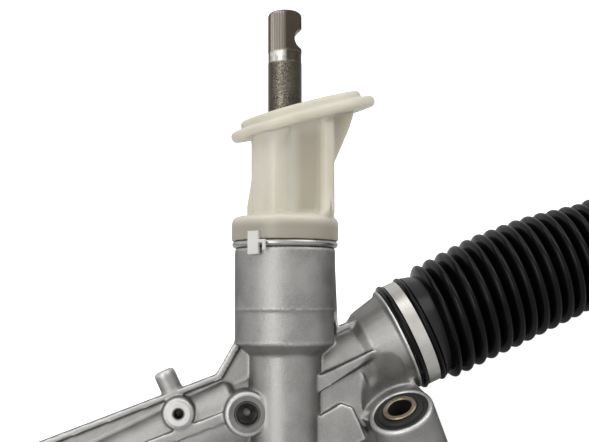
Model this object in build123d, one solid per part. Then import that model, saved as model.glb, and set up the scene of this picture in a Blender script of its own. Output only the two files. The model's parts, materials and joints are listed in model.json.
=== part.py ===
from build123d import *
import math
import os

# Rack-and-pinion steering gear: cast housing on two bushed eyes, helical pinion, sliding rack,
# inner ball joints with tie rods, and a bellows over each end. Millimetres and degrees.
#
# Part frame: X along the rack, Z up along the mounting bolts, origin midway between the two
# bolts on the plane that the bushes stand on. Rack frame: the part frame moved to the rack's
# axis and leant back, so that the pinion crosses in its X-Z plane. Front is -Y in both.

# --- mounting eyes -------------------------------------------------------------------------
MOUNT_SPACING = 380.0       # between the two mounting bolts
MOUNT_TO_END = 18.6         # from each bolt out to the housing's end flange
MOUNT_TO_PINION = 48.4      # from the right bolt in to the pinion's crossing
RACK_BACK = 40.0            # rack axis behind the bolt axes
RACK_UP = 50.2              # rack axis above the plane of the bush ends
LEAN = 28.0                 # the gear plane leans back by this much
EYE_RADIUS = 16.6
EYE_WALL = 2.75
SLEEVE_LENGTH = 40.0        # steel bush sleeve, end to end
SLEEVE_RADIUS = 8.6
BOLT_HOLE_RADIUS = 6.1
EYE_RECESS = 2.0            # sleeve stands this proud of the eye at each end

# --- gear pair ------------------------------------------------------------------------------
MODULE = 2.0                # normal module
PINION_TEETH = 7
PRESSURE_ANGLE = 20.0
CROSS_ANGLE = 25.0          # pinion leans from the rack's normal; also its helix angle
PROFILE_SHIFT = 0.5         # in modules
PINION_TIP_RADIUS = 10.4
PINION_ROOT_RADIUS = 6.35
BACKLASH = 0.15
PINION_FACE = 30.0          # toothed length
RACK_RADIUS = 12.5
RACK_REFERENCE = 6.2        # rack axis to the reference line of its teeth
RACK_ADDENDUM = 2.0
RACK_DEDENDUM = 2.0
RACK_TEETH = 27
TRAVEL = 70.0               # rack travel each way

# --- fits -----------------------------------------------------------------------------------
RUNNING = 0.05              # radial clearance of running fits
SEAT_GAP = 0.02             # radial clearance of parts seated in their bores

# --- pinion tower, heights measured along the pinion from the crossing ------------------------
TOWER_BOTTOM = -38.0
TOWER_LOWER_RADIUS = 18.0
TOWER_CONE_START = 20.7
TOWER_CONE_END = 26.4
TOWER_STEP = 42.5
TOWER_STEP_DEPTH = 0.9
TOWER_RADIUS = 25.65
TOWER_TOP = 74.6
TOWER_NECK_RADIUS = 23.5
TOWER_NECK_TOP = 86.6
PINION_CAVITY_RADIUS = 12.5
BEARING_BORE_RADIUS = 21.0

# --- pinion shaft and its bearings ------------------------------------------------------------
INPUT_RADIUS = 8.75         # major radius of the input serrations
STEM_RADIUS = 8.5           # shaft below them
RELIEF_RADIUS = 8.3         # turned relief at their foot
RELIEF_LENGTH = 6.0
SHAFT_TOP = 197.9
SHAFT_ROUNDING = 2.6        # rounded top edge
SERRATION_LENGTH = 18.9
NOTCH_HEIGHT = 183.0        # centre of the pinch-bolt notch
NOTCH_RADIUS = 5.5
NOTCH_DEPTH = 3.6
SHAFT_SEAM = 67.5           # turn of the shaft's seam away from the notch
JOURNAL_RADIUS = 10.0       # upper journal
JOURNAL_TOP = 41.5
BEARING_BOTTOM = 27.0
BEARING_WIDTH = 12.0
BALL_RADIUS = 3.175
BALL_COUNT = 9
RACE_GROOVE_DEPTH = 0.9
RACE_LAND_GAP = 6.2         # radial space between the two races' lands
LOCK_RING_HEIGHT = 7.0
SEAL_BOTTOM = 68.0
SEAL_HEIGHT = 8.0
LOWER_JOURNAL_RADIUS = 6.0
NEEDLE_RADIUS = 1.0
NEEDLE_COUNT = 14
NEEDLE_SHELL_WALL = 1.0
NEEDLE_BOTTOM = -32.0
NEEDLE_TOP = -19.0
END_CAP_RADIUS = 12.0
END_CAP_THICKNESS = 3.0

# --- rack tube and end flanges ----------------------------------------------------------------
BORE_RADIUS = 14.0
ARM_RADIUS = 22.0           # rack tube beside the tower
CORE_RADIUS = 18.5          # rack tube behind the tower
FAR_TUBE_RADIUS = 19.0      # rack tube towards the far end
ARM_LENGTH = 130.0          # full-size tube, from the crossing
NECK_RADIUS = 19.0
FLARE_RADIUS = 22.3
FLANGE_RADIUS = 27.6
FLANGE_THICKNESS = 2.2
NECK_LENGTH = 22.0          # from the end flange back to the neck
FLARE_LENGTH = 17.0         # from the end flange back to the flare's foot
SPIGOT_RADIUS = 25.0        # the bellows grip this
SPIGOT_LENGTH = 12.5
SOCKET_POCKET_RADIUS = 20.5 # lets the ball socket run up to its stop

# --- web, ribs and bosses on the front ----------------------------------------------------------
WEB_FRONT = 9.5             # web faces, in front of the rack axis
WEB_BACK = 2.5
BEAD_WIDTH = 3.0            # raised edge round the web
BEAD_PROUD = 2.5
TOP_RIB_HEIGHT = 24.2       # web edge above the rack axis beside the tower
RIB_SLOPE = 4.5             # web edge and middle rib rise away from the tower
GUSSET_FOOT = 27.4          # from the crossing back to the foot of the tower gusset
GUSSET_TOP = 27.0           # where that gusset meets the tower, along the pinion
RIGHT_RIB_HEIGHT = 19.4
LOWER_RIB_DEPTH = 24.5
MIDDLE_RIB_WIDTH = 5.0
MIDDLE_RIB_FRONT = 23.2
SIDE_RIB_WIDTH = 3.8
SIDE_RIB_FRONT = 24.0
WALL_FRONT = 20.4           # cast wall under the neck, between tower and eye
PAD_FRONT = 24.0            # raised pad on that wall
EYE_CLEARANCE = 3.4         # room round each eye for the bolt's washer
SMALL_BOSS_X = -51.8
SMALL_BOSS_Z = 15.4
SMALL_BOSS_RADIUS = 7.9
SMALL_BOSS_FRONT = 24.0
SMALL_BOSS_FACE_RADIUS = 6.1
SMALL_HOLE_RADIUS = 2.6
SMALL_HOLE_DEPTH = 11.0
BIG_BOSS_X = -21.0
BIG_BOSS_Z = 1.2
BIG_BOSS_RADIUS = 11.2
BIG_BOSS_FRONT = 29.5
BIG_BOSS_FACE_RADIUS = 9.15
BIG_HOLE_RADIUS = 5.65
BIG_HOLE_DEPTH = 9.5
STUB_X = -51.0
STUB_RADIUS = 5.5
STUB_TOP = 37.5

# --- yoke that presses the rack into the pinion ---------------------------------------------------
YOKE_RADIUS = 16.0
YOKE_BOSS_RADIUS = 23.0
YOKE_BOSS_START = 3.0
YOKE_BOSS_BACK = 46.0
YOKE_FACE_ANGLE = 62.0      # half angle of the rack's seat in the yoke
YOKE_BACK = 30.0
LINER_THICKNESS = 0.7
YOKE_SPRING_RADIUS = 7.0
YOKE_SPRING_WIRE = 1.1
YOKE_SPRING_TURNS = 4
YOKE_SPRING_POCKET = 9.0
PLUG_GAP = 0.15             # yoke play, set by the plug
PLUG_THICKNESS = 12.0
LOCK_NUT_HEIGHT = 5.0
ORING_WIRE = 1.1

# --- far-end bushing --------------------------------------------------------------------------
BUSHING_WALL = 3.0
BUSHING_LENGTH = 22.0

# --- inner ball joints and tie rods ---------------------------------------------------------------
BALL_CENTRE_TO_STOP = 20.0  # socket's inner face to its ball centre
WASHER_THICKNESS = 1.5
SOCKET_RADIUS = 17.0
SOCKET_BACK_WALL = 4.3
SOCKET_MOUTH = 9.3          # socket lip past the ball centre
SOCKET_MOUTH_RADIUS = 10.6
SOCKET_STUD_RADIUS = 8.0
SOCKET_STUD_LENGTH = 16.0
ROD_BALL_RADIUS = 12.5
SEAT_THICKNESS = 1.2
ROD_NECK_RADIUS = 5.5
ROD_NECK_END = 20.0
ROD_RADIUS = 7.25
ROD_LENGTH = 268.0          # ball centre to the threaded end
THREAD_RADIUS = 7.0
THREAD_PITCH_RADIUS = 6.5   # under the jam nut and inboard of it
THREAD_RELIEF = 0.8         # from the nut's outer face to the full thread
THREAD_LENGTH = 62.0
JAM_NUT_FLATS = 22.0
JAM_NUT_HEIGHT = 8.0
JAM_NUT_FROM_END = 34.0
ROD_DROOP = 0.1             # degrees; each rod hangs by the play in its boot's cuff

# --- bellows ------------------------------------------------------------------------------------
BELLOWS_WALL = 1.8
LIP_RADIUS = 29.0           # raised lips each side of the steel band
LIP_WIDTH = 3.4
BAND_SEAT_RADIUS = 27.4     # rubber under the band
BAND_WIDTH = 6.8
BAND_THICKNESS = 0.7
COLLAR_RADIUS = 29.4
COLLAR_WIDTH = 3.1
FOLD_COUNT = 21
FOLD_PITCH = 7.2
CREST_RADIUS = 31.0
FOLD_DEPTH = 5.6            # crest to valley
TAPER_FROM = 54.0           # from the end flange to where the folds start to close in
TAPER = 0.075               # radius lost per millimetre after that
CREST_FLOOR = 26.0          # crests close in no further than this
FIRST_CREST = 30.4
CUFF_LENGTH = 14.0
CUFF_WALL = 2.6
CLIP_WIRE = 1.3

# --- dust cover over the tower -----------------------------------------------------------------
WIRE_RING_RADIUS = 1.75
WIRE_RING_GAP = 0.03        # above and below the wire
WIRE_RING_BULGE = 1.42      # how far the wire stands past the tower's rim
COLLAR_TOP = 90.6
COVER_COLLAR_RADIUS = 27.35
COVER_WALL = 2.4
COLUMN_OFFSET = 3.6         # column centre, to the right of the pinion axis
COLUMN_WIDTH = 41.4
COLUMN_DEPTH = 40.0
PANEL_LEFT = 0.9
PANEL_RIGHT = 17.0
PANEL_DEPTH = 3.0
COLUMN_FOOT_TOP = 111.0     # the left side spreads below this
COLUMN_FOOT_SPREAD = 2.2
FLANGE_TILT = 15.6          # right end up
FLANGE_PITCH = 5.0          # front edge down
FLANGE_CENTRE_X = 10.2
FLANGE_CENTRE_S = 138.9     # underside of the lower disc, at the oval's centre
LOWER_DISC_LENGTH = 77.0
LOWER_DISC_WIDTH = 58.0
LOWER_DISC_THICKNESS = 5.6
UPPER_DISC_LENGTH = 64.3
UPPER_DISC_WIDTH = 47.0
UPPER_DISC_THICKNESS = 4.5
COVER_HOLE_RADIUS = 12.0
COVER_GUSSET_FOOT = 116.0
COVER_GUSSET_REACH = 11.5
COVER_GUSSET_THICKNESS = 14.0
RING_CLIP_WIDTH = 6.1
RING_CLIP_HEIGHT = 11.4
RING_CLIP_THICKNESS = 1.9
RING_CLIP_DROP = 1.9        # clip centre below the collar's lower edge
RING_CLIP_ANGLE = 36.5      # round to the left of the front

# --- places worked out from the sizes above -------------------------------------------------------
MOUNT_X = MOUNT_SPACING / 2
END_X = MOUNT_X + MOUNT_TO_END
CROSSING_X = MOUNT_X - MOUNT_TO_PINION
STOP_X = END_X + TRAVEL + WASHER_THICKNESS + 0.4
BALL_X = STOP_X + BALL_CENTRE_TO_STOP
ROD_END_X = BALL_X + ROD_LENGTH
RACK_FRAME = Pos(0, RACK_BACK, RACK_UP) * Rot(-LEAN, 0, 0)
CROSSING = RACK_FRAME * Pos(CROSSING_X, 0, 0)

BETA = math.radians(CROSS_ANGLE)
PITCH_RADIUS = MODULE * PINION_TEETH / math.cos(BETA) / 2
PINION_OFFSET = RACK_REFERENCE + PITCH_RADIUS + PROFILE_SHIFT * MODULE
PINION_FRAME = CROSSING * Location(Plane(
    origin=(0, -PINION_OFFSET, 0),
    x_dir=(math.cos(BETA), 0, -math.sin(BETA)),
    z_dir=(math.sin(BETA), 0, math.cos(BETA)),
))


COLLAR_BOTTOM = TOWER_TOP + 2 * WIRE_RING_RADIUS + 2 * WIRE_RING_GAP


# --- helpers: every turned piece is drawn as (radius, height) and spun about local Z ------------------
def turned(outline):
    """Solid of revolution about Z from a closed list of (radius, height) points."""
    points = [Vector(radius, 0, height) for radius, height in outline]
    face = Face(Wire.make_polygon(points, close=True))
    return Solid.revolve(face, 360, Axis.Z)


def ring(outer, inner, bottom, top):
    """Plain turned ring or, with inner 0, a disc."""
    if inner == 0:
        return Pos(0, 0, bottom) * Solid.make_cylinder(outer, top - bottom)
    return turned([(inner, bottom), (outer, bottom), (outer, top), (inner, top)])


def plate(points, front, back):
    """Plate in the X-Z plane of the rack frame, from y = -front to y = -back."""
    outline = [Vector(x, -front, z) for x, z in points]
    face = Face(Wire.make_polygon(outline, close=True))
    return Solid.extrude(face, Vector(0, front - back, 0))


def along_rack(shape, x=0.0, side=1):
    """A piece turned about Z, laid along the rack axis, its Z pointing outwards on that side."""
    turn = Rot(0, 90, 0) if side > 0 else Rot(0, -90, 0)
    return RACK_FRAME * Pos(side * x, 0, 0) * turn * shape


def on_rod(shape, side):
    """A piece drawn outwards from the ball's centre along Z, laid on that side's drooping rod."""
    return Pos(side * BALL_X, RACK_BACK, RACK_UP) * Rot(0, side * (90 + ROD_DROOP), 0) * shape


def forward_boss(x, z, radius, back, front, draft=0.6):
    """Tapered boss that stands towards the front from depth back to depth front."""
    body = turned([(0, back), (radius + draft, back), (radius, front - 1.0), (radius - 1.0, front), (0, front)])
    return Pos(x, 0, z) * Rot(90, 0, 0) * body


def tower_point(across, along):
    """Rack-frame (x, z) of a point given in the pinion's frame."""
    return (
        across * math.cos(BETA) + along * math.sin(BETA),
        -across * math.sin(BETA) + along * math.cos(BETA),
    )


# --- gear pair -----------------------------------------------------------------------------------
def pinion_tooth_half_angle(radius):
    """Half the angle that a tooth fills at a radius, from the involute."""
    transverse = math.atan(math.tan(math.radians(PRESSURE_ANGLE)) / math.cos(BETA))
    base_radius = PITCH_RADIUS * math.cos(transverse)
    shift = 2 * PROFILE_SHIFT * MODULE * math.tan(transverse)
    thickness = math.pi * MODULE / math.cos(BETA) / 2 + shift - BACKLASH / math.cos(BETA)
    local = math.acos(min(1.0, base_radius / max(radius, base_radius)))
    involute = (math.tan(transverse) - transverse) - (math.tan(local) - local)
    return thickness / (2 * PITCH_RADIUS) + involute


def pinion_section(height, twist):
    """Transverse section of all the teeth, with one tooth pointing at the rack when twist is 0."""
    def point(radius, angle):
        angle += math.radians(90) + twist
        return Vector(radius * math.cos(angle), radius * math.sin(angle), height)

    steps = [0, 0.2, 0.4, 0.6, 0.8, 1]
    radii = [PINION_ROOT_RADIUS + (PINION_TIP_RADIUS - PINION_ROOT_RADIUS) * step for step in steps]
    edges = []
    spacing = 2 * math.pi / PINION_TEETH
    for tooth in range(PINION_TEETH):
        middle = tooth * spacing
        right = [point(radius, middle - pinion_tooth_half_angle(radius)) for radius in radii]
        left = [point(radius, middle + pinion_tooth_half_angle(radius)) for radius in reversed(radii)]
        next_foot = point(PINION_ROOT_RADIUS, middle + spacing - pinion_tooth_half_angle(PINION_ROOT_RADIUS))
        edges.append(Edge.make_spline(right))
        edges.append(Edge.make_three_point_arc(right[-1], point(PINION_TIP_RADIUS, middle), left[0]))
        edges.append(Edge.make_spline(left))
        edges.append(Edge.make_three_point_arc(
            left[-1], point(PINION_ROOT_RADIUS, middle + spacing / 2), next_foot))
    return Face(Wire(edges))


def pinion_shaft():
    """Helical pinion in one piece with its journals and the serrated input shaft."""
    half = PINION_FACE / 2
    twist = PINION_FACE * math.tan(BETA) / PITCH_RADIUS
    section = pinion_section(-half, -twist / 2)
    teeth = Solid.extrude_linear_with_rotation(
        section, Vector(0, 0, -half), Vector(0, 0, PINION_FACE), math.degrees(twist))
    foot = SHAFT_TOP - SERRATION_LENGTH
    shaft = turned([
        (0, -half - 0.5), (0, SHAFT_TOP), (INPUT_RADIUS - SHAFT_ROUNDING, SHAFT_TOP),
        (INPUT_RADIUS - 0.8, SHAFT_TOP - 0.9), (INPUT_RADIUS, SHAFT_TOP - SHAFT_ROUNDING),
        (INPUT_RADIUS, foot), (RELIEF_RADIUS, foot - 0.4), (RELIEF_RADIUS, foot - RELIEF_LENGTH + 0.4),
        (STEM_RADIUS, foot - RELIEF_LENGTH),
        (STEM_RADIUS, JOURNAL_TOP + 1.0), (JOURNAL_RADIUS - 1.0, JOURNAL_TOP), (JOURNAL_RADIUS, JOURNAL_TOP),
        (JOURNAL_RADIUS, BEARING_BOTTOM), (JOURNAL_RADIUS + 1.4, BEARING_BOTTOM),
        (JOURNAL_RADIUS + 1.4, BEARING_BOTTOM - 3.0), (JOURNAL_RADIUS - 0.6, BEARING_BOTTOM - 5.0),
        (PINION_ROOT_RADIUS - 0.2, half + 1.5), (PINION_ROOT_RADIUS - 0.2, -half - 0.5),
    ])
    stem = turned([
        (0, NEEDLE_BOTTOM - 1.0), (LOWER_JOURNAL_RADIUS - 0.8, NEEDLE_BOTTOM - 1.0),
        (LOWER_JOURNAL_RADIUS, NEEDLE_BOTTOM - 0.2), (LOWER_JOURNAL_RADIUS, -half), (0, -half),
    ])
    body = Rot(0, 0, SHAFT_SEAM) * shaft + teeth + stem
    notch = Pos(INPUT_RADIUS + NOTCH_RADIUS - NOTCH_DEPTH, INPUT_RADIUS + 1, NOTCH_HEIGHT) * Rot(90, 0, 0) * (
        Solid.make_cylinder(NOTCH_RADIUS, 2 * INPUT_RADIUS + 2))
    return PINION_FRAME * (body - notch)


def rack_bar():
    """Round bar with its teeth cut square across the front; threaded sockets close its ends."""
    pitch = math.pi * MODULE
    slope = math.tan(math.radians(PRESSURE_ANGLE))
    tip = RACK_REFERENCE + RACK_ADDENDUM
    root = RACK_REFERENCE - RACK_DEDENDUM
    half_space = pitch / 4
    first = -(RACK_TEETH // 2)
    clear = RACK_RADIUS + 2
    outline = [(first * pitch - half_space - clear, clear)]
    for tooth in range(first, first + RACK_TEETH):
        middle = tooth * pitch
        outline += [
            (middle - half_space - RACK_ADDENDUM * slope, tip),
            (middle - half_space + RACK_DEDENDUM * slope, root),
            (middle + half_space - RACK_DEDENDUM * slope, root),
            (middle + half_space + RACK_ADDENDUM * slope, tip),
        ]
    last = first + RACK_TEETH - 1
    outline.append((last * pitch + half_space + clear, clear))
    points = [Vector(x, -y, -clear) for x, y in outline]
    cutter = Solid.extrude(Face(Wire.make_polygon(points, close=True)), Vector(0, 0, 2 * clear))
    half = STOP_X - WASHER_THICKNESS
    bar = Rot(0, 90, 0) * turned([
        (0, -half), (RACK_RADIUS - 1, -half), (RACK_RADIUS, 1 - half), (RACK_RADIUS, half - 1),
        (RACK_RADIUS - 1, half), (0, half)])
    socket_hole = SOCKET_STUD_RADIUS + SEAT_GAP
    depth = SOCKET_STUD_LENGTH + 2
    for side in (1, -1):
        bar -= Pos(side * (half - depth / 2), 0, 0) * Rot(0, 90, 0) * Cylinder(socket_hole, depth)
    return RACK_FRAME * (bar - Pos(CROSSING_X, 0, 0) * cutter)


# --- housing ---------------------------------------------------------------------------------------
def rack_tube_outer():
    """Outer skin of the tube along the rack: necks, flares, end flanges and bellows spigots."""
    def end(side):
        return [
            (NECK_RADIUS, side * (END_X - NECK_LENGTH)),
            (FLARE_RADIUS, side * (END_X - FLARE_LENGTH)),
            (FLANGE_RADIUS - 2.2, side * (END_X - FLANGE_THICKNESS - 0.6)),
            (FLANGE_RADIUS, side * (END_X - FLANGE_THICKNESS + 0.8)),
            (FLANGE_RADIUS, side * END_X),
            (SPIGOT_RADIUS, side * END_X),
            (SPIGOT_RADIUS, side * (END_X + SPIGOT_LENGTH - 1.5)),
            (SPIGOT_RADIUS - 1.5, side * (END_X + SPIGOT_LENGTH)),
        ]

    right = end(1)
    left = list(reversed(end(-1)))
    arm_start = CROSSING_X - 25.5
    middle = [
        (FAR_TUBE_RADIUS, CROSSING_X - ARM_LENGTH - 30),
        (ARM_RADIUS, CROSSING_X - ARM_LENGTH),
        (ARM_RADIUS, arm_start),
        (ARM_RADIUS - 1.2, arm_start + 1.8),
        (CORE_RADIUS, arm_start + 3.5),
        (CORE_RADIUS, CROSSING_X + 20),
        (NECK_RADIUS, CROSSING_X + 24),
    ]
    outline = [(0, -END_X - SPIGOT_LENGTH)] + left + middle + right + [(0, END_X + SPIGOT_LENGTH)]
    return RACK_FRAME * Rot(0, 90, 0) * turned(outline)


def tower_outer():
    """Outer skin of the pinion tower, up to the neck under the dust cover."""
    barrel = TOWER_RADIUS - TOWER_STEP_DEPTH
    return PINION_FRAME * turned([
        (0, TOWER_BOTTOM), (TOWER_LOWER_RADIUS - 2, TOWER_BOTTOM), (TOWER_LOWER_RADIUS, TOWER_BOTTOM + 2),
        (TOWER_LOWER_RADIUS, TOWER_CONE_START), (barrel, TOWER_CONE_END), (barrel, TOWER_STEP),
        (TOWER_RADIUS, TOWER_STEP + 0.6), (TOWER_RADIUS, TOWER_TOP - 0.5), (TOWER_RADIUS - 0.5, TOWER_TOP),
        (TOWER_NECK_RADIUS, TOWER_TOP), (TOWER_NECK_RADIUS, TOWER_NECK_TOP - 1),
        (TOWER_NECK_RADIUS - 1, TOWER_NECK_TOP), (0, TOWER_NECK_TOP),
    ])


def web_outline(inset=0.0):
    """Edge of the web round tower and arm, in the rack frame from the crossing."""
    rise = math.tan(math.radians(RIB_SLOPE))
    side = TOWER_RADIUS - 0.1 - inset
    crown = TOWER_TOP - 1.0
    left_end = -(CROSSING_X + MOUNT_X - NECK_LENGTH + inset)
    shoulder = -ARM_LENGTH - 10
    top = TOP_RIB_HEIGHT - inset
    low = LOWER_RIB_DEPTH - inset
    gusset = inset * 0.6
    return [
        (END_X - CROSSING_X - FLARE_LENGTH + 3.0, RIGHT_RIB_HEIGHT - 0.4 - inset),
        (tower_point(side + 1.0, 0)[0] + 15.5, RIGHT_RIB_HEIGHT + 0.4 - inset),
        tower_point(side + 0.4, crown),
        tower_point(-side, crown),
        tower_point(-side, GUSSET_TOP - gusset),
        (-GUSSET_FOOT + gusset, top),
        (shoulder, top + rise * (-GUSSET_FOOT - shoulder)),
        (shoulder - 18, top + rise * (-GUSSET_FOOT - shoulder) - 3.5),
        (shoulder - 40, NECK_RADIUS + 1.0 - inset),
        (left_end, NECK_RADIUS + 1.0 - inset),
        (left_end, -NECK_RADIUS - 1.0 + inset),
        (shoulder, -low),
        (-14, -low),
        (22, -low),
        (END_X - CROSSING_X - NECK_LENGTH + 2.0, -NECK_RADIUS - 1.0 + inset),
    ]


def web():
    """Web between tower, arm and neck, with a raised bead along its edge."""
    sheet = plate(web_outline(), WEB_FRONT, WEB_BACK)
    rim = plate(web_outline(), WEB_FRONT + BEAD_PROUD, WEB_BACK - BEAD_PROUD)
    hollow = plate(web_outline(BEAD_WIDTH), WEB_FRONT + BEAD_PROUD + 1, WEB_BACK - BEAD_PROUD - 1)
    return CROSSING * (sheet + (rim - hollow))


def front_ribs():
    """Middle rib along the arm, short rib from the tower to the neck, and the wall and pad under it."""
    rise = math.tan(math.radians(RIB_SLOPE))
    half = MIDDLE_RIB_WIDTH / 2
    start, end = BIG_BOSS_X, -ARM_LENGTH - 2
    height = BIG_BOSS_Z + 2.1
    far = height + rise * (start - end)
    middle = plate(
        [(start, height - half), (start, height + half), (end, far + half), (end, far - half)],
        MIDDLE_RIB_FRONT, 10.0)
    tip = END_X - CROSSING_X - FLARE_LENGTH - 1.0
    narrow = SIDE_RIB_WIDTH / 2
    side = plate([(8, -5.6), (8, 2.6), (tip, 0.3 + narrow), (tip, 0.3 - narrow)], SIDE_RIB_FRONT, 8.0)
    side += Pos(tip, 0, 0.3) * Rot(90, 0, 0) * ring(narrow, 0, 8.0, SIDE_RIB_FRONT)
    pad_right = MOUNT_TO_PINION - EYE_RADIUS - 4.0
    pad = plate(
        [(-4, -36), (-4, -16.5), (11.5, -15.8), (pad_right - 4.5, -14.6), (pad_right, -19.0), (pad_right, -36)],
        PAD_FRONT, 4.0)
    wall_right = MOUNT_TO_PINION - 8.0
    wall = plate(
        [(0, -LOWER_RIB_DEPTH - 6.0), (0, 0), (wall_right - 6.0, 0), (wall_right, -6.0),
         (wall_right, -LOWER_RIB_DEPTH - 6.0)],
        WALL_FRONT, 4.0)
    return CROSSING * (middle + side + pad + wall)


def bosses():
    """Threaded bosses on the front of the arm and the round stub on its top edge."""
    small = forward_boss(SMALL_BOSS_X, SMALL_BOSS_Z, SMALL_BOSS_RADIUS, 2.0, SMALL_BOSS_FRONT)
    big = forward_boss(BIG_BOSS_X, BIG_BOSS_Z, BIG_BOSS_RADIUS, 6.0, BIG_BOSS_FRONT)
    stub = Pos(STUB_X, -(WEB_FRONT + WEB_BACK) / 2, 0) * turned([
        (0, TOP_RIB_HEIGHT - 4), (STUB_RADIUS, TOP_RIB_HEIGHT - 4), (STUB_RADIUS, STUB_TOP - 1.2),
        (STUB_RADIUS - 1.2, STUB_TOP), (0, STUB_TOP)])
    return CROSSING * (small + big + stub)


def boss_holes():
    """Blind drilled holes of the two bosses, with their countersinks."""
    def drilled(x, z, radius, face, depth, countersink):
        tool = turned([
            (0, face - depth - radius * 0.6), (radius, face - depth), (radius, face - countersink),
            (radius + countersink, face), (radius + countersink, face + 2), (0, face + 2)])
        return Pos(x, 0, z) * Rot(90, 0, 0) * tool

    small = drilled(SMALL_BOSS_X, SMALL_BOSS_Z, SMALL_HOLE_RADIUS, SMALL_BOSS_FRONT, SMALL_HOLE_DEPTH, 0.55)
    big = drilled(BIG_BOSS_X, BIG_BOSS_Z, BIG_HOLE_RADIUS, BIG_BOSS_FRONT, BIG_HOLE_DEPTH, 0.8)
    return [CROSSING * small, CROSSING * big]


def yoke_boss():
    """Boss behind the crossing that holds the yoke."""
    return CROSSING * Rot(-90, 0, 0) * turned([
        (0, YOKE_BOSS_START), (YOKE_BOSS_RADIUS, YOKE_BOSS_START), (YOKE_BOSS_RADIUS, YOKE_BOSS_BACK - 1),
        (YOKE_BOSS_RADIUS - 1, YOKE_BOSS_BACK), (0, YOKE_BOSS_BACK)])


def mounting_eye(side):
    """One mounting eye with the broad cast bridge that joins it to the rack tube's neck."""
    bottom, top = EYE_RECESS, SLEEVE_LENGTH - EYE_RECESS
    eye = Pos(side * MOUNT_X, 0, 0) * turned([
        (0, bottom), (EYE_RADIUS - 0.8, bottom), (EYE_RADIUS, bottom + 0.8), (EYE_RADIUS, top - 0.8),
        (EYE_RADIUS - 0.8, top), (0, top)])
    cheek = EYE_RADIUS - 0.8
    plan = [
        (-cheek, -1.0), (-cheek, 5.0), (-NECK_LENGTH - 8.0, 27.0), (-NECK_LENGTH - 8.0, RACK_BACK + 8.0),
        (MOUNT_TO_END - FLANGE_THICKNESS - 2.0, RACK_BACK + 8.0), (MOUNT_TO_END - FLANGE_THICKNESS - 2.0, 18.0),
        (cheek, 5.0), (cheek, -1.0)]
    profile = [
        (-1, bottom + 1.5), (-1, top - 1.5), (14, top - 0.5), (20, RACK_UP - 4.0), (RACK_BACK - 12, RACK_UP + 8.0),
        (RACK_BACK, RACK_UP), (RACK_BACK + 8, RACK_UP - 14), (RACK_BACK - 8, bottom + 14), (16, bottom + 1.5)]
    outline = [Vector(side * (MOUNT_X + x), y, 0) for x, y in plan]
    upright = Solid.extrude(Face(Wire.make_polygon(outline, close=True)), Vector(0, 0, 2 * RACK_UP))
    reach = 2 * NECK_LENGTH
    points = [Vector(side * MOUNT_X - reach, y, z) for y, z in profile]
    across = Solid.extrude(Face(Wire.make_polygon(points, close=True)), Vector(2 * reach, 0, 0))
    return eye + (upright & across)


def eye_clearance(side):
    """Round clearance over each eye's upper face for the bolt head and its washer."""
    return Pos(side * MOUNT_X, 0, 0) * ring(
        EYE_RADIUS + EYE_CLEARANCE, 0, SLEEVE_LENGTH - EYE_RECESS, 2 * RACK_UP)


def housing_cavities():
    """Everything bored out of the casting."""
    cuts = []
    reach = END_X + SPIGOT_LENGTH + 1
    cuts.append(RACK_FRAME * Rot(0, 90, 0) * Cylinder(BORE_RADIUS, 2 * reach))
    for side in (1, -1):
        pocket = ring(SOCKET_POCKET_RADIUS, 0, 0, SPIGOT_LENGTH + 1)
        cuts.append(along_rack(pocket, END_X, side))
        hole = EYE_RADIUS - EYE_WALL
        cuts.append(Pos(side * MOUNT_X, 0, 0) * ring(hole, 0, -1, SLEEVE_LENGTH + 1))
    seat = BORE_RADIUS + BUSHING_WALL - (BORE_RADIUS - RACK_RADIUS)
    cuts.append(along_rack(ring(seat, 0, -BUSHING_LENGTH - 3, 1), END_X, -1))
    shell_bore = LOWER_JOURNAL_RADIUS + 2 * NEEDLE_RADIUS + NEEDLE_SHELL_WALL
    cuts.append(PINION_FRAME * turned([
        (0, TOWER_BOTTOM - 1), (END_CAP_RADIUS, TOWER_BOTTOM - 1), (END_CAP_RADIUS, TOWER_BOTTOM + END_CAP_THICKNESS),
        (shell_bore, TOWER_BOTTOM + END_CAP_THICKNESS), (shell_bore, -PINION_FACE / 2 - 2),
        (PINION_CAVITY_RADIUS, -PINION_FACE / 2 - 2), (PINION_CAVITY_RADIUS, BEARING_BOTTOM),
        (BEARING_BORE_RADIUS, BEARING_BOTTOM), (BEARING_BORE_RADIUS, TOWER_NECK_TOP + 1), (0, TOWER_NECK_TOP + 1)]))
    cuts.append(CROSSING * Rot(-90, 0, 0) * ring(YOKE_RADIUS + RUNNING, 0, 0, YOKE_BOSS_BACK + 1))
    return cuts


def rack_housing():
    """The one-piece casting."""
    body = rack_tube_outer() + tower_outer() + yoke_boss()
    body = body + web()
    body = body + front_ribs()
    body = body + bosses()
    for side in (1, -1):
        body = body + mounting_eye(side)
    for cut in housing_cavities() + boss_holes() + [eye_clearance(1), eye_clearance(-1)]:
        body = body - cut
    return body


# --- pinion bearings, seal and cap ----------------------------------------------------------------
def ball_circle():
    return (JOURNAL_RADIUS + BEARING_BORE_RADIUS) / 2


def bearing_race(outer):
    """Outer or inner race of the upper ball bearing, with its groove."""
    middle = BEARING_BOTTOM + BEARING_WIDTH / 2
    if outer:
        land = ball_circle() + RACE_LAND_GAP / 2
        body = ring(BEARING_BORE_RADIUS - SEAT_GAP, land, BEARING_BOTTOM, BEARING_BOTTOM + BEARING_WIDTH)
    else:
        land = ball_circle() - RACE_LAND_GAP / 2
        body = ring(land, JOURNAL_RADIUS + SEAT_GAP, BEARING_BOTTOM, BEARING_BOTTOM + BEARING_WIDTH)
    groove = Pos(0, 0, middle) * Solid.make_torus(ball_circle(), BALL_RADIUS + RUNNING)
    return PINION_FRAME * (body - groove)


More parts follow.
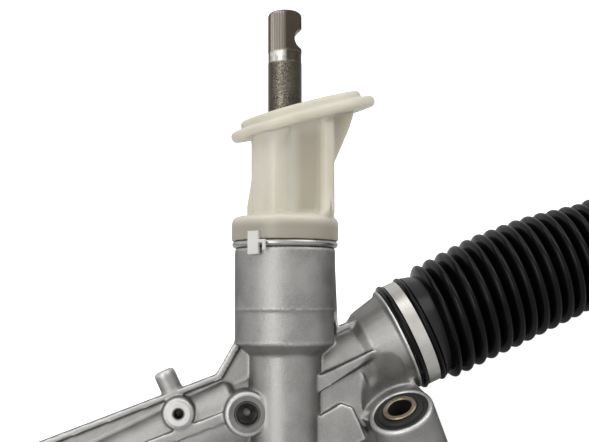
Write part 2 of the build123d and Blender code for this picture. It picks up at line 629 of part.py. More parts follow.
def bearing_balls():
    """Balls and the riveted cage that spaces them."""
    middle = BEARING_BOTTOM + BEARING_WIDTH / 2
    cage_half = 1.3
    cage = ring(ball_circle() + cage_half, ball_circle() - cage_half, middle - 2.0, middle + 2.0)
    for index in range(BALL_COUNT):
        place = Rot(0, 0, 360 / BALL_COUNT * index) * Pos(ball_circle(), 0, middle)
        cage = cage + place * Solid.make_sphere(BALL_RADIUS)
    return PINION_FRAME * cage


def bearing_lock_ring():
    """Threaded ring that holds the ball bearing down, with four spanner slots."""
    bottom = BEARING_BOTTOM + BEARING_WIDTH
    body = ring(BEARING_BORE_RADIUS - SEAT_GAP, BEARING_BORE_RADIUS - 5.5, bottom, bottom + LOCK_RING_HEIGHT)
    for index in range(4):
        slot = Pos(BEARING_BORE_RADIUS - 4.5, 0, bottom + LOCK_RING_HEIGHT) * Box(4, 4, 5)
        body = body - Rot(0, 0, 90 * index) * slot
    return PINION_FRAME * body


def pinion_seal():
    """Lip seal at the top of the tower; its lip clears the shaft by the running fit."""
    top = SEAL_BOTTOM + SEAL_HEIGHT
    lip = STEM_RADIUS + RUNNING
    return PINION_FRAME * turned([
        (BEARING_BORE_RADIUS - SEAT_GAP, SEAL_BOTTOM), (BEARING_BORE_RADIUS - SEAT_GAP, top), (lip + 1.5, top),
        (lip, top - 1.5), (lip, top - 2.5), (lip + 2.0, top - 3.0), (BEARING_BORE_RADIUS - 3.0, top - 2.5),
        (BEARING_BORE_RADIUS - 3.0, SEAL_BOTTOM)])


def needle_shell():
    """Drawn cup of the lower needle bearing."""
    inner = LOWER_JOURNAL_RADIUS + 2 * NEEDLE_RADIUS
    wall = NEEDLE_SHELL_WALL - SEAT_GAP
    lip = LOWER_JOURNAL_RADIUS + 0.6
    thick = 0.8
    return PINION_FRAME * turned([
        (inner + wall, NEEDLE_BOTTOM), (inner + wall, NEEDLE_TOP), (lip, NEEDLE_TOP), (lip, NEEDLE_TOP - thick),
        (inner, NEEDLE_TOP - thick), (inner, NEEDLE_BOTTOM + thick), (lip, NEEDLE_BOTTOM + thick),
        (lip, NEEDLE_BOTTOM)])


def needle_rollers():
    """Needles, tied by a thin cage ring at each end."""
    place_radius = LOWER_JOURNAL_RADIUS + NEEDLE_RADIUS
    bottom, top = NEEDLE_BOTTOM + 1.2, NEEDLE_TOP - 1.2
    roller = NEEDLE_RADIUS - RUNNING
    rollers = ring(place_radius + 0.5, place_radius - 0.5, bottom, bottom + 1.0)
    rollers += ring(place_radius + 0.5, place_radius - 0.5, top - 1.0, top)
    for index in range(NEEDLE_COUNT):
        place = Rot(0, 0, 360 / NEEDLE_COUNT * index) * Pos(place_radius, 0, 0)
        rollers = rollers + place * ring(roller, 0, bottom, top)
    return PINION_FRAME * rollers


def pinion_end_cap():
    """Pressed cap that closes the bottom of the tower."""
    cap = ring(END_CAP_RADIUS - SEAT_GAP, 0, TOWER_BOTTOM, TOWER_BOTTOM + END_CAP_THICKNESS)
    dish = Pos(0, 0, TOWER_BOTTOM - 0.1) * Solid.make_cone(END_CAP_RADIUS - 2.5, END_CAP_RADIUS - 4.0, 1.6)
    return PINION_FRAME * (cap - dish)


# --- yoke ---------------------------------------------------------------------------------------
def yoke():
    """Round yoke with a hollow for the rack, a spring pocket and an O-ring groove."""
    front = (RACK_RADIUS + RUNNING + LINER_THICKNESS) * math.cos(math.radians(YOKE_FACE_ANGLE))
    middle = (front + YOKE_BACK) / 2 + 6
    body = turned([
        (0, front), (YOKE_RADIUS, front), (YOKE_RADIUS, middle - ORING_WIRE), (YOKE_RADIUS - 1.9, middle - ORING_WIRE),
        (YOKE_RADIUS - 1.9, middle + ORING_WIRE), (YOKE_RADIUS, middle + ORING_WIRE), (YOKE_RADIUS, YOKE_BACK),
        (0, YOKE_BACK)])
    pocket = ring(YOKE_SPRING_RADIUS + YOKE_SPRING_WIRE + 0.6, 0, YOKE_BACK - YOKE_SPRING_POCKET, YOKE_BACK + 1)
    body = Rot(-90, 0, 0) * (body - pocket)
    hollow = Rot(0, 90, 0) * Cylinder(RACK_RADIUS + RUNNING + LINER_THICKNESS, 4 * YOKE_RADIUS)
    return CROSSING * (body - hollow)


def yoke_liner():
    """Thin low-friction strip between yoke and rack."""
    inner = RACK_RADIUS + RUNNING
    length = 1.6 * YOKE_RADIUS
    strip = Rot(0, 90, 0) * (
        Cylinder(inner + LINER_THICKNESS - SEAT_GAP, length) - Cylinder(inner, length + 1))
    front = (inner + LINER_THICKNESS) * math.cos(math.radians(YOKE_FACE_ANGLE)) + 0.4
    keep = Pos(0, front, 0) * Box(length + 2, 3 * inner, 3 * inner, align=(Align.CENTER, Align.MIN, Align.CENTER))
    return CROSSING * (strip & keep)


def yoke_oring():
    """O-ring that seals the yoke in its bore."""
    front = (RACK_RADIUS + RUNNING + LINER_THICKNESS) * math.cos(math.radians(YOKE_FACE_ANGLE))
    middle = (front + YOKE_BACK) / 2 + 6
    wire = ORING_WIRE - 0.15
    return CROSSING * Rot(-90, 0, 0) * Pos(0, 0, middle) * Solid.make_torus(YOKE_RADIUS - wire, wire)


def yoke_spring():
    """Compression spring between yoke and plug, as its closed turns."""
    bottom = YOKE_BACK - YOKE_SPRING_POCKET + YOKE_SPRING_WIRE
    top = YOKE_BACK + PLUG_GAP - YOKE_SPRING_WIRE
    turns = []
    for index in range(YOKE_SPRING_TURNS):
        height = bottom + (top - bottom) * index / (YOKE_SPRING_TURNS - 1)
        turns.append(Pos(0, 0, height) * Solid.make_torus(YOKE_SPRING_RADIUS, YOKE_SPRING_WIRE))
    post = ring(YOKE_SPRING_RADIUS + 0.3, YOKE_SPRING_RADIUS - 0.3, bottom, top)
    body = turns[0]
    for turn in turns[1:]:
        body = body + turn
    return CROSSING * Rot(-90, 0, 0) * (body + post)


def yoke_plug():
    """Threaded adjusting plug with a hexagon socket."""
    bottom = YOKE_BACK + PLUG_GAP
    body = ring(YOKE_RADIUS, 0, bottom, bottom + PLUG_THICKNESS + LOCK_NUT_HEIGHT)
    socket = Pos(0, 0, bottom + 5) * extrude(RegularPolygon(8.0, 6), PLUG_THICKNESS + LOCK_NUT_HEIGHT)
    return CROSSING * Rot(-90, 0, 0) * (body - socket)


def yoke_lock_nut():
    """Slim hexagon nut that locks the plug against the boss."""
    body = Pos(0, 0, YOKE_BOSS_BACK) * extrude(RegularPolygon(YOKE_BOSS_RADIUS, 6), LOCK_NUT_HEIGHT)
    hole = ring(YOKE_RADIUS + SEAT_GAP, 0, YOKE_BOSS_BACK - 1, YOKE_BOSS_BACK + LOCK_NUT_HEIGHT + 1)
    return CROSSING * Rot(-90, 0, 0) * (body - hole)


# --- far-end bushing -----------------------------------------------------------------------------
def rack_bushing():
    """Plastic bushing that guides the rack's far end, with two O-ring grooves."""
    outer = RACK_RADIUS + BUSHING_WALL - SEAT_GAP
    inner = RACK_RADIUS + RUNNING
    body = ring(outer, inner, -BUSHING_LENGTH - 1, -1)
    for height in bushing_groove_heights():
        body = body - ring(outer + 1, outer - ORING_WIRE * 1.4, height - ORING_WIRE, height + ORING_WIRE)
    return along_rack(body, END_X, -1)


def bushing_groove_heights():
    return (-BUSHING_LENGTH * 0.75 - 1, -BUSHING_LENGTH * 0.25 - 1)


def rack_bushing_orings():
    """The two O-rings round the bushing."""
    wire = ORING_WIRE * 0.68
    radius = RACK_RADIUS + BUSHING_WALL - SEAT_GAP - wire
    rings = [Pos(0, 0, height) * Solid.make_torus(radius, wire) for height in bushing_groove_heights()]
    return Compound(children=[along_rack(item, END_X, -1) for item in rings])


# --- bushes in the eyes -----------------------------------------------------------------------------
def mount_rubber(side):
    """Rubber ring with a raised land round the sleeve."""
    outer = EYE_RADIUS - EYE_WALL - SEAT_GAP
    inner = SLEEVE_RADIUS + SEAT_GAP
    bottom, top = EYE_RECESS, SLEEVE_LENGTH - EYE_RECESS
    land = outer - 1.8
    return Pos(side * MOUNT_X, 0, 0) * turned([
        (inner, bottom - 1.0), (land - 0.8, bottom - 1.0), (land, bottom + 0.6), (outer, bottom + 0.6),
        (outer, top - 0.6), (land, top - 0.6), (land - 0.8, top + 1.0), (inner, top + 1.0)])


def mount_sleeve(side):
    """Steel sleeve that the mounting bolt clamps."""
    return Pos(side * MOUNT_X, 0, 0) * turned([
        (BOLT_HOLE_RADIUS, 0), (SLEEVE_RADIUS - 0.5, 0), (SLEEVE_RADIUS, 0.5), (SLEEVE_RADIUS, SLEEVE_LENGTH - 0.5),
        (SLEEVE_RADIUS - 0.5, SLEEVE_LENGTH), (BOLT_HOLE_RADIUS, SLEEVE_LENGTH)])


# --- inner ball joints and tie rods ----------------------------------------------------------------
def seat_outer_radius():
    return ROD_BALL_RADIUS + RUNNING + SEAT_THICKNESS


def lock_washer(side):
    """Washer between rack and socket, with a tab bent into the socket's flats."""
    outer = SOCKET_RADIUS - 3.0
    body = ring(outer, SOCKET_STUD_RADIUS + SEAT_GAP, STOP_X - WASHER_THICKNESS, STOP_X)
    return along_rack(body, 0, side)


def ball_socket(side):
    """Ball housing screwed into the rack's end by its stud."""
    cup = seat_outer_radius() + RUNNING
    outline = [
        (0, STOP_X - WASHER_THICKNESS - SOCKET_STUD_LENGTH), (SOCKET_STUD_RADIUS - 1, STOP_X - WASHER_THICKNESS - SOCKET_STUD_LENGTH),
        (SOCKET_STUD_RADIUS, STOP_X - WASHER_THICKNESS - SOCKET_STUD_LENGTH + 1), (SOCKET_STUD_RADIUS, STOP_X),
        (SOCKET_RADIUS - 1.5, STOP_X), (SOCKET_RADIUS, STOP_X + 1.5), (SOCKET_RADIUS, BALL_X + 2),
        (SOCKET_MOUTH_RADIUS + 2.2, BALL_X + SOCKET_MOUTH), (0, BALL_X + SOCKET_MOUTH)]
    body = turned(outline) - Pos(0, 0, BALL_X) * Solid.make_sphere(cup)
    mouth = ring(SOCKET_MOUTH_RADIUS, 0, BALL_X, BALL_X + SOCKET_MOUTH + 1)
    body = body - mouth
    flats = 2 * SOCKET_RADIUS - 4
    for turn in (0, 180):
        cut = Rot(0, 0, turn) * Pos(flats / 2, 0, STOP_X + 5) * Box(8, 3 * SOCKET_RADIUS, 7, align=(Align.MIN, Align.CENTER, Align.CENTER))
        body = body - cut
    return along_rack(body, 0, side)


def ball_seat(side):
    """Plastic seat between ball and socket, open towards the rod."""
    outer = Solid.make_sphere(seat_outer_radius())
    inner = Solid.make_sphere(ROD_BALL_RADIUS + RUNNING)
    opening = ring(SOCKET_MOUTH_RADIUS, 0, 0, 2 * ROD_BALL_RADIUS)
    back = ring(SOCKET_STUD_RADIUS - 2, 0, -2 * ROD_BALL_RADIUS, 0)
    return along_rack(Pos(0, 0, BALL_X) * (outer - inner - opening - back), 0, side)


def tie_rod(side):
    """Ball, neck, rod and threaded end in one forging."""
    ball = Solid.make_sphere(ROD_BALL_RADIUS)
    shoulder = ROD_LENGTH - THREAD_LENGTH
    free = ROD_LENGTH - JAM_NUT_FROM_END + THREAD_RELIEF
    shank = turned([
        (0, 0), (ROD_NECK_RADIUS, 0), (ROD_NECK_RADIUS, ROD_NECK_END), (ROD_RADIUS, ROD_NECK_END + 5),
        (ROD_RADIUS, shoulder - 1), (THREAD_PITCH_RADIUS, shoulder), (THREAD_PITCH_RADIUS, free),
        (THREAD_RADIUS, free), (THREAD_RADIUS, ROD_LENGTH - 1.2),
        (THREAD_RADIUS - 1.2, ROD_LENGTH), (0, ROD_LENGTH)])
    return on_rod(ball + shank, side)


def jam_nut(side):
    """Nut that locks the outer end once the toe is set."""
    bottom = ROD_LENGTH - JAM_NUT_FROM_END - JAM_NUT_HEIGHT
    corner = JAM_NUT_FLATS / math.sqrt(3)
    blank = Pos(0, 0, bottom) * extrude(RegularPolygon(corner, 6), JAM_NUT_HEIGHT)
    round_off = turned([
        (0, bottom), (corner - 1.6, bottom), (corner + 0.1, bottom + 1.1),
        (corner + 0.1, bottom + JAM_NUT_HEIGHT - 1.1), (corner - 1.6, bottom + JAM_NUT_HEIGHT),
        (0, bottom + JAM_NUT_HEIGHT)])
    hole = ring(THREAD_PITCH_RADIUS + SEAT_GAP, 0, bottom - 1, bottom + JAM_NUT_HEIGHT + 1)
    return on_rod((blank & round_off) - hole, side)


# --- bellows -------------------------------------------------------------------------------------
def fold_start():
    return END_X + 2 * LIP_WIDTH + BAND_WIDTH + COLLAR_WIDTH


def cuff_start():
    return fold_start() + FOLD_COUNT * FOLD_PITCH + 4.0


def crest_radius(index):
    """Crests keep their size and then close in steadily towards the cuff."""
    if index == 0:
        return FIRST_CREST
    beyond = fold_start() + (index + 0.5) * FOLD_PITCH - END_X - TAPER_FROM
    return max(CREST_FLOOR, CREST_RADIUS - TAPER * max(0.0, beyond))


def bellows(side):
    """Rubber bellows: lips and band seat, plain collar, folds, and a cuff on the tie rod."""
    outside = [
        (SPIGOT_RADIUS + SEAT_GAP, END_X + SEAT_GAP), (LIP_RADIUS, END_X + SEAT_GAP),
        (LIP_RADIUS, END_X + LIP_WIDTH), (BAND_SEAT_RADIUS, END_X + LIP_WIDTH),
        (BAND_SEAT_RADIUS, END_X + LIP_WIDTH + BAND_WIDTH), (LIP_RADIUS, END_X + LIP_WIDTH + BAND_WIDTH),
        (LIP_RADIUS, END_X + 2 * LIP_WIDTH + BAND_WIDTH), (COLLAR_RADIUS, END_X + 2 * LIP_WIDTH + BAND_WIDTH),
        (COLLAR_RADIUS, fold_start() - 1.5),
    ]
    inside = [(SPIGOT_RADIUS + SEAT_GAP, END_X + SPIGOT_LENGTH + 1), (COLLAR_RADIUS - BELLOWS_WALL, END_X + SPIGOT_LENGTH + 3),
              (COLLAR_RADIUS - BELLOWS_WALL, fold_start() - 1.5)]
    for index in range(FOLD_COUNT):
        start = fold_start() + index * FOLD_PITCH
        crest = crest_radius(index)
        valley = crest - FOLD_DEPTH
        for radius, at in ((valley, 0.0), (valley + 0.6, 0.14), (crest - 0.6, 0.36), (crest, 0.5), (crest - 0.6, 0.64), (valley + 0.6, 0.86)):
            outside.append((radius, start + at * FOLD_PITCH))
            inside.append((radius - BELLOWS_WALL, start + at * FOLD_PITCH))
    grip = ROD_RADIUS + 0.3
    end = cuff_start() + CUFF_LENGTH
    outside += [(grip + CUFF_WALL, cuff_start()), (grip + CUFF_WALL, end), (grip, end)]
    inside += [(grip, cuff_start() - 1)]
    return along_rack(turned(outside + list(reversed(inside))), 0, side)


def bellows_band(side):
    """Stainless band that clamps the bellows on its spigot, with a crimped ear."""
    inner = BAND_SEAT_RADIUS + SEAT_GAP
    outer = inner + BAND_THICKNESS
    start = END_X + LIP_WIDTH + 0.15
    end = END_X + LIP_WIDTH + BAND_WIDTH - 0.15
    band = ring(outer, inner, start, end)
    ear = Pos(-(outer + 1.4), 0, (start + end) / 2) * Box(3.4, 5.0, end - start)
    slot = Pos(-(outer + 1.3), 0, (start + end) / 2) * Box(1.8, 3.4, end - start + 1)
    lift = Rot(0, 0, -120 if side > 0 else -60)
    return along_rack(lift * (band + (ear - slot)), 0, side)


def bellows_clip(side):
    """Spring-wire clip round the cuff, with two pinch ends."""
    inner = ROD_RADIUS + 0.3 + CUFF_WALL
    middle = cuff_start() + CUFF_LENGTH / 2
    radius = inner + CLIP_WIRE + 0.05
    coil = Pos(0, 0, middle - CLIP_WIRE * 1.05) * Solid.make_torus(radius, CLIP_WIRE)
    coil = coil + Pos(0, 0, middle + CLIP_WIRE * 0.85) * Solid.make_torus(radius, CLIP_WIRE)
    for offset, lean in ((-CLIP_WIRE * 1.05, -28), (CLIP_WIRE * 0.85, 28)):
        tail = Pos(0, 0, middle + offset) * Rot(0, 0, lean) * Rot(90, 0, 0) * ring(CLIP_WIRE * 0.9, 0, radius, radius + 9)
        coil = coil + tail
    return along_rack(coil, 0, side)


# --- dust cover --------------------------------------------------------------------------------
def oval(length, width, height):
    """Stadium-free oval disc: an ellipse given by its two axes."""
    return extrude(Ellipse(length / 2, width / 2), height)


def column_section(grow=0.0):
    """Column of the dust cover seen from above: flat left, two front ridges, a sunk panel between."""
    left = COLUMN_OFFSET - COLUMN_WIDTH / 2 - grow
    right = COLUMN_OFFSET + COLUMN_WIDTH / 2 + grow
    front = -COLUMN_DEPTH / 2 - grow
    back = COLUMN_DEPTH / 2 + grow
    sketch = Pos((left + right) / 2, (front + back) / 2) * RectangleRounded(right - left, back - front, 11.0)
    return sketch


def dust_cover():
    """Nylon cover: collar over the tower's neck, hollow column, gusset and slanted oval flange."""
    top = FLANGE_CENTRE_S + 20
    collar = turned([
        (0, COLLAR_BOTTOM), (COVER_COLLAR_RADIUS, COLLAR_BOTTOM), (COVER_COLLAR_RADIUS, COLLAR_TOP - 3.0),
        (COVER_COLLAR_RADIUS - 0.9, COLLAR_TOP - 0.9), (COVER_COLLAR_RADIUS - 3.0, COLLAR_TOP), (0, COLLAR_TOP)])
    column = Pos(0, 0, COLLAR_TOP - 2) * extrude(column_section(), top - COLLAR_TOP)
    panel_width = PANEL_RIGHT - PANEL_LEFT
    panel = Pos((PANEL_LEFT + PANEL_RIGHT) / 2, -COLUMN_DEPTH / 2, COLLAR_TOP + 1.5) * Box(
        panel_width, 2 * PANEL_DEPTH, top, align=(Align.CENTER, Align.CENTER, Align.MIN))
    right = COLUMN_OFFSET + COLUMN_WIDTH / 2
    gusset_top = FLANGE_CENTRE_S + COVER_GUSSET_REACH * math.tan(math.radians(FLANGE_TILT))
    wedge = [
        Vector(right - 6, -COVER_GUSSET_THICKNESS / 2, COVER_GUSSET_FOOT - 6 * 2.2),
        Vector(right + COVER_GUSSET_REACH, -COVER_GUSSET_THICKNESS / 2, gusset_top + 1),
        Vector(right - 6, -COVER_GUSSET_THICKNESS / 2, gusset_top + 1)]
    gusset = Solid.extrude(Face(Wire.make_polygon(wedge, close=True)), Vector(0, COVER_GUSSET_THICKNESS, 0))
    tilt = Pos(FLANGE_CENTRE_X, 0, FLANGE_CENTRE_S) * Rot(0, -FLANGE_TILT, 0) * Rot(FLANGE_PITCH, 0, 0)
    left = COLUMN_OFFSET - COLUMN_WIDTH / 2
    spread = [
        Vector(left + 1, COLUMN_DEPTH / 2 - 9, COLUMN_FOOT_TOP), Vector(left + 1, COLUMN_DEPTH / 2 - 9, COLLAR_TOP - 1),
        Vector(left - COLUMN_FOOT_SPREAD, COLUMN_DEPTH / 2 - 9, COLLAR_TOP - 1),
        Vector(left - COLUMN_FOOT_SPREAD, COLUMN_DEPTH / 2 - 9, COLUMN_FOOT_TOP - 14),
        Vector(left, COLUMN_DEPTH / 2 - 9, COLUMN_FOOT_TOP)]
    foot = Solid.extrude(Face(Wire.make_polygon(spread, close=True)), Vector(0, 18 - COLUMN_DEPTH, 0))
    lower = fillet(
        oval(LOWER_DISC_LENGTH, LOWER_DISC_WIDTH, LOWER_DISC_THICKNESS).edges(), LOWER_DISC_THICKNESS * 0.42)
    upper = oval(UPPER_DISC_LENGTH, UPPER_DISC_WIDTH, UPPER_DISC_THICKNESS)
    upper = fillet(upper.edges().group_by(Axis.Z)[-1], UPPER_DISC_THICKNESS * 0.5)
    keep = tilt * Pos(0, 0, -200 + 1) * Box(300, 300, 400)
    body = collar + ((column - panel + foot + gusset) & keep)
    body = body + tilt * lower
    body = body + tilt * Pos(0, 0, LOWER_DISC_THICKNESS - 0.2) * upper
    neck = ring(TOWER_NECK_RADIUS + SEAT_GAP, 0, COLLAR_BOTTOM - 1, TOWER_NECK_TOP + 0.6)
    inside = column_inside()
    hole = ring(COVER_HOLE_RADIUS, 0, COLLAR_TOP, top + 30)
    return PINION_FRAME * (body - neck - inside - hole)


def column_inside():
    """Space inside the column, from the neck up to the underside of the flange."""
    radius = COLUMN_WIDTH / 2 - COVER_WALL - PANEL_DEPTH
    return Pos(COLUMN_OFFSET, 0, 0) * ring(radius, 0, TOWER_NECK_TOP, FLANGE_CENTRE_S - 9.0)


def dust_cover_ring():
    """Wire ring that sits on the tower's rim under the cover."""
    height = (TOWER_TOP + COLLAR_BOTTOM) / 2
    return PINION_FRAME * Pos(0, 0, height) * Solid.make_torus(wire_ring_centre(), WIRE_RING_RADIUS)


def wire_ring_centre():
    """Radius of the wire's centre line: it bulges a little past the tower's rim."""
    return TOWER_RADIUS - WIRE_RING_RADIUS + WIRE_RING_BULGE


def ring_clip():
    """Small plastic clip on the front left: a pad with a lug behind it and a hooked tail."""
    face = COVER_COLLAR_RADIUS + SEAT_GAP
    wire = wire_ring_centre() + WIRE_RING_RADIUS + SEAT_GAP
    middle = COLLAR_BOTTOM - RING_CLIP_DROP
    pad = Pos(face, 0, middle) * Box(
        RING_CLIP_THICKNESS, RING_CLIP_WIDTH, RING_CLIP_HEIGHT, align=(Align.MIN, Align.CENTER, Align.CENTER))
    lug = Pos(wire, 0, COLLAR_BOTTOM - 0.1) * Box(
        face - wire + 0.5, RING_CLIP_WIDTH - 1, RING_CLIP_DROP + 2, align=(Align.MIN, Align.CENTER, Align.MAX))
    tail = Pos(face, RING_CLIP_WIDTH / 2 - 0.5, COLLAR_BOTTOM - 1.2) * Box(
        RING_CLIP_THICKNESS * 0.7, 4.2, 1.6, align=(Align.MIN, Align.MIN, Align.CENTER))
    tip = Pos(face, RING_CLIP_WIDTH / 2 + 2.2, COLLAR_BOTTOM - 0.4) * Box(
        RING_CLIP_THICKNESS * 0.7, 1.5, 5.2, align=(Align.MIN, Align.MIN, Align.MAX))
    turn = Rot(0, 0, -90 - RING_CLIP_ANGLE)
    return PINION_FRAME * turn * (pad + lug + tail + tip)


# --- write every node ------------------------------------------------------------------------------
NODES = {
    "rack_housing": rack_housing,
    "pinion_needle_shell": needle_shell,
    "pinion_needle_rollers": needle_rollers,
    "pinion_end_cap": pinion_end_cap,
    "pinion_bearing_outer_race": lambda: bearing_race(True),
    "pinion_bearing_inner_race": lambda: bearing_race(False),
    "pinion_bearing_balls": bearing_balls,
    "bearing_lock_ring": bearing_lock_ring,
    "pinion_seal": pinion_seal,
    "pinion_shaft": pinion_shaft,
    "dust_cover": dust_cover,
    "dust_cover_ring": dust_cover_ring,
    "ring_clip": ring_clip,
    "rack_bar": rack_bar,
    "rack_bushing": rack_bushing,
    "rack_bushing_orings": rack_bushing_orings,
    "yoke": yoke,
    "yoke_liner": yoke_liner,
    "yoke_oring": yoke_oring,
    "yoke_spring": yoke_spring,
    "yoke_plug": yoke_plug,
    "yoke_lock_nut": yoke_lock_nut,
}
PAIRED = {
    "mount_rubber": mount_rubber,
    "mount_sleeve": mount_sleeve,
    "bellows_band": bellows_band,
    "bellows": bellows,
    "bellows_clip": bellows_clip,
    "lock_washer": lock_washer,
    "ball_socket": ball_socket,
    "ball_seat": ball_seat,
    "tie_rod": tie_rod,
    "jam_nut": jam_nut,
}

os.makedirs("parts", exist_ok=True)
for name, make in NODES.items():
    export_step(make(), f"parts/{name}.step")
for name, make in PAIRED.items():
    for label, side in (("right", 1), ("left", -1)):
        export_step(make(side), f"parts/{label}_{name}.step")
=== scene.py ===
import bpy, json, math
import numpy as np
from mathutils import Matrix, Vector


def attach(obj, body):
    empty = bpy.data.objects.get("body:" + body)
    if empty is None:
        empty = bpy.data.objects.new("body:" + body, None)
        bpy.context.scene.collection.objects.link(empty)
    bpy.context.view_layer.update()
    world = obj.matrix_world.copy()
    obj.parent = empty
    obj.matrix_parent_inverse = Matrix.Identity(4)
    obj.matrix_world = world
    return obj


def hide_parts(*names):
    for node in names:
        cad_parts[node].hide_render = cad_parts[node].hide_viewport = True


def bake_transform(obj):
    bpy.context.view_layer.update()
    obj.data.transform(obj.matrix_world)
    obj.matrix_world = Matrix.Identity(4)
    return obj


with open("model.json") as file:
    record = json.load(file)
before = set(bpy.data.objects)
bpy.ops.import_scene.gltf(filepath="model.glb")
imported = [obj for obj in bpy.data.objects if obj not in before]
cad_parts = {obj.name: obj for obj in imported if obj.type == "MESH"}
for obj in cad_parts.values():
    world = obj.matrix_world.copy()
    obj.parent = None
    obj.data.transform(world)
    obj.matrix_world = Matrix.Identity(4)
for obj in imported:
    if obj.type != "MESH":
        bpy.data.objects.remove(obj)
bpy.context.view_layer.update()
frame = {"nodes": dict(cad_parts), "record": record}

# ======================================================================================
# Pale studio floor, plain white surroundings, two soft boxes and the camera.
# The floor lies just under the bush sleeves, on which the steering rack stands.
# ======================================================================================
scene = bpy.context.scene
scene.view_settings.view_transform = "Standard"

world = bpy.data.worlds.new("white_room")
world.use_nodes = True
scene.world = world
nodes, links = world.node_tree.nodes, world.node_tree.links
room = nodes["Background"]
room.inputs["Color"].default_value = (1.0, 1.0, 1.0, 1.0)
path = nodes.new("ShaderNodeLightPath")
seen = path.outputs["Is Camera Ray"]
for ray in ("Is Glossy Ray", "Is Transmission Ray"):
    either = nodes.new("ShaderNodeMath")
    either.operation = "MAXIMUM"
    links.new(seen, either.inputs[0])
    links.new(path.outputs[ray], either.inputs[1])
    seen = either.outputs[0]
level = nodes.new("ShaderNodeMapRange")
level.inputs["To Min"].default_value = 0.36
level.inputs["To Max"].default_value = 1.0
links.new(seen, level.inputs["Value"])
links.new(level.outputs["Result"], room.inputs["Strength"])


def floor_material():
    """Matt white paint that glows just enough, for the camera only, to read as white paper."""
    material = bpy.data.materials.new("studio_paper")
    material.use_nodes = True
    nodes, links = material.node_tree.nodes, material.node_tree.links
    paint = nodes["Principled BSDF"]
    paint.inputs["Base Color"].default_value = (0.86, 0.86, 0.86, 1.0)
    paint.inputs["Roughness"].default_value = 0.9
    paint.inputs["Specular IOR Level"].default_value = 0.1
    paint.inputs["Emission Color"].default_value = (1.0, 1.0, 1.0, 1.0)
    path = nodes.new("ShaderNodeLightPath")
    glow = nodes.new("ShaderNodeMapRange")
    glow.inputs["To Min"].default_value = 0.0
    glow.inputs["To Max"].default_value = 0.88
    links.new(path.outputs["Is Camera Ray"], glow.inputs["Value"])
    links.new(glow.outputs["Result"], paint.inputs["Emission Strength"])
    return material


floor_mesh = bpy.data.meshes.new("studio_floor")
floor_mesh.from_pydata(
    [(-9, -9, -0.0006), (9, -9, -0.0006), (9, 9, -0.0006), (-9, 9, -0.0006)], [], [(0, 1, 2, 3)])
floor = bpy.data.objects.new("studio_floor", floor_mesh)
floor.data.materials.append(floor_material())
scene.collection.objects.link(floor)


def soft_box(name, place, aim, size, power, colour=(1.0, 1.0, 1.0)):
    """Square area lamp at a place, turned so that its face looks at the aim point."""
    lamp = bpy.data.lights.new(name, "AREA")
    lamp.shape = "RECTANGLE"
    lamp.size, lamp.size_y = size
    lamp.energy = power
    lamp.color = colour
    holder = bpy.data.objects.new(name, lamp)
    holder.location = place
    holder.rotation_euler = (Vector(aim) - Vector(place)).to_track_quat("-Z", "Y").to_euler()
    scene.collection.objects.link(holder)


soft_box("key_left", (-0.55, -0.85, 0.95), (0.13, 0.03, 0.10), (0.55, 0.9), 6.5)
soft_box("rim_right", (0.95, -0.10, 0.75), (0.15, 0.03, 0.10), (0.45, 0.8), 3.0)
soft_box("top", (0.10, 0.25, 1.25), (0.13, 0.03, 0.08), (0.9, 0.6), 3.5)

lens = bpy.data.cameras.new("camera")
camera = bpy.data.objects.new("camera", lens)
lens.sensor_width = 36.0
lens.lens = 64.18
lens.clip_start, lens.clip_end = 0.02, 30.0
right, up, back = (0.9034, -0.2595, -0.3413), (0.4175, 0.3511, 0.8381), (-0.0977, -0.8997, 0.4255)
camera.matrix_world = Matrix((
    (right[0], up[0], back[0], 0.130817),
    (right[1], up[1], back[1], -0.421832),
    (right[2], up[2], back[2], 0.356071),
    (0, 0, 0, 1)))
scene.collection.objects.link(camera)
scene.camera = camera

# ======================================================================================
# The housing: one aluminium die casting, blasted to a fine satin grain, with the eyes,
# the tube round the rack, the leaning pinion tower, its web and ribs. Rounded all over.
# ======================================================================================
LEAN = math.radians(28.0)
RACK_AXIS = np.array((0.0, 40.0, 50.2))
CROSSING_X = 141.6
CASTING_VOXEL = 0.00065
CASTING_ROUNDS = 12
CASTING_TRIANGLES = 180000


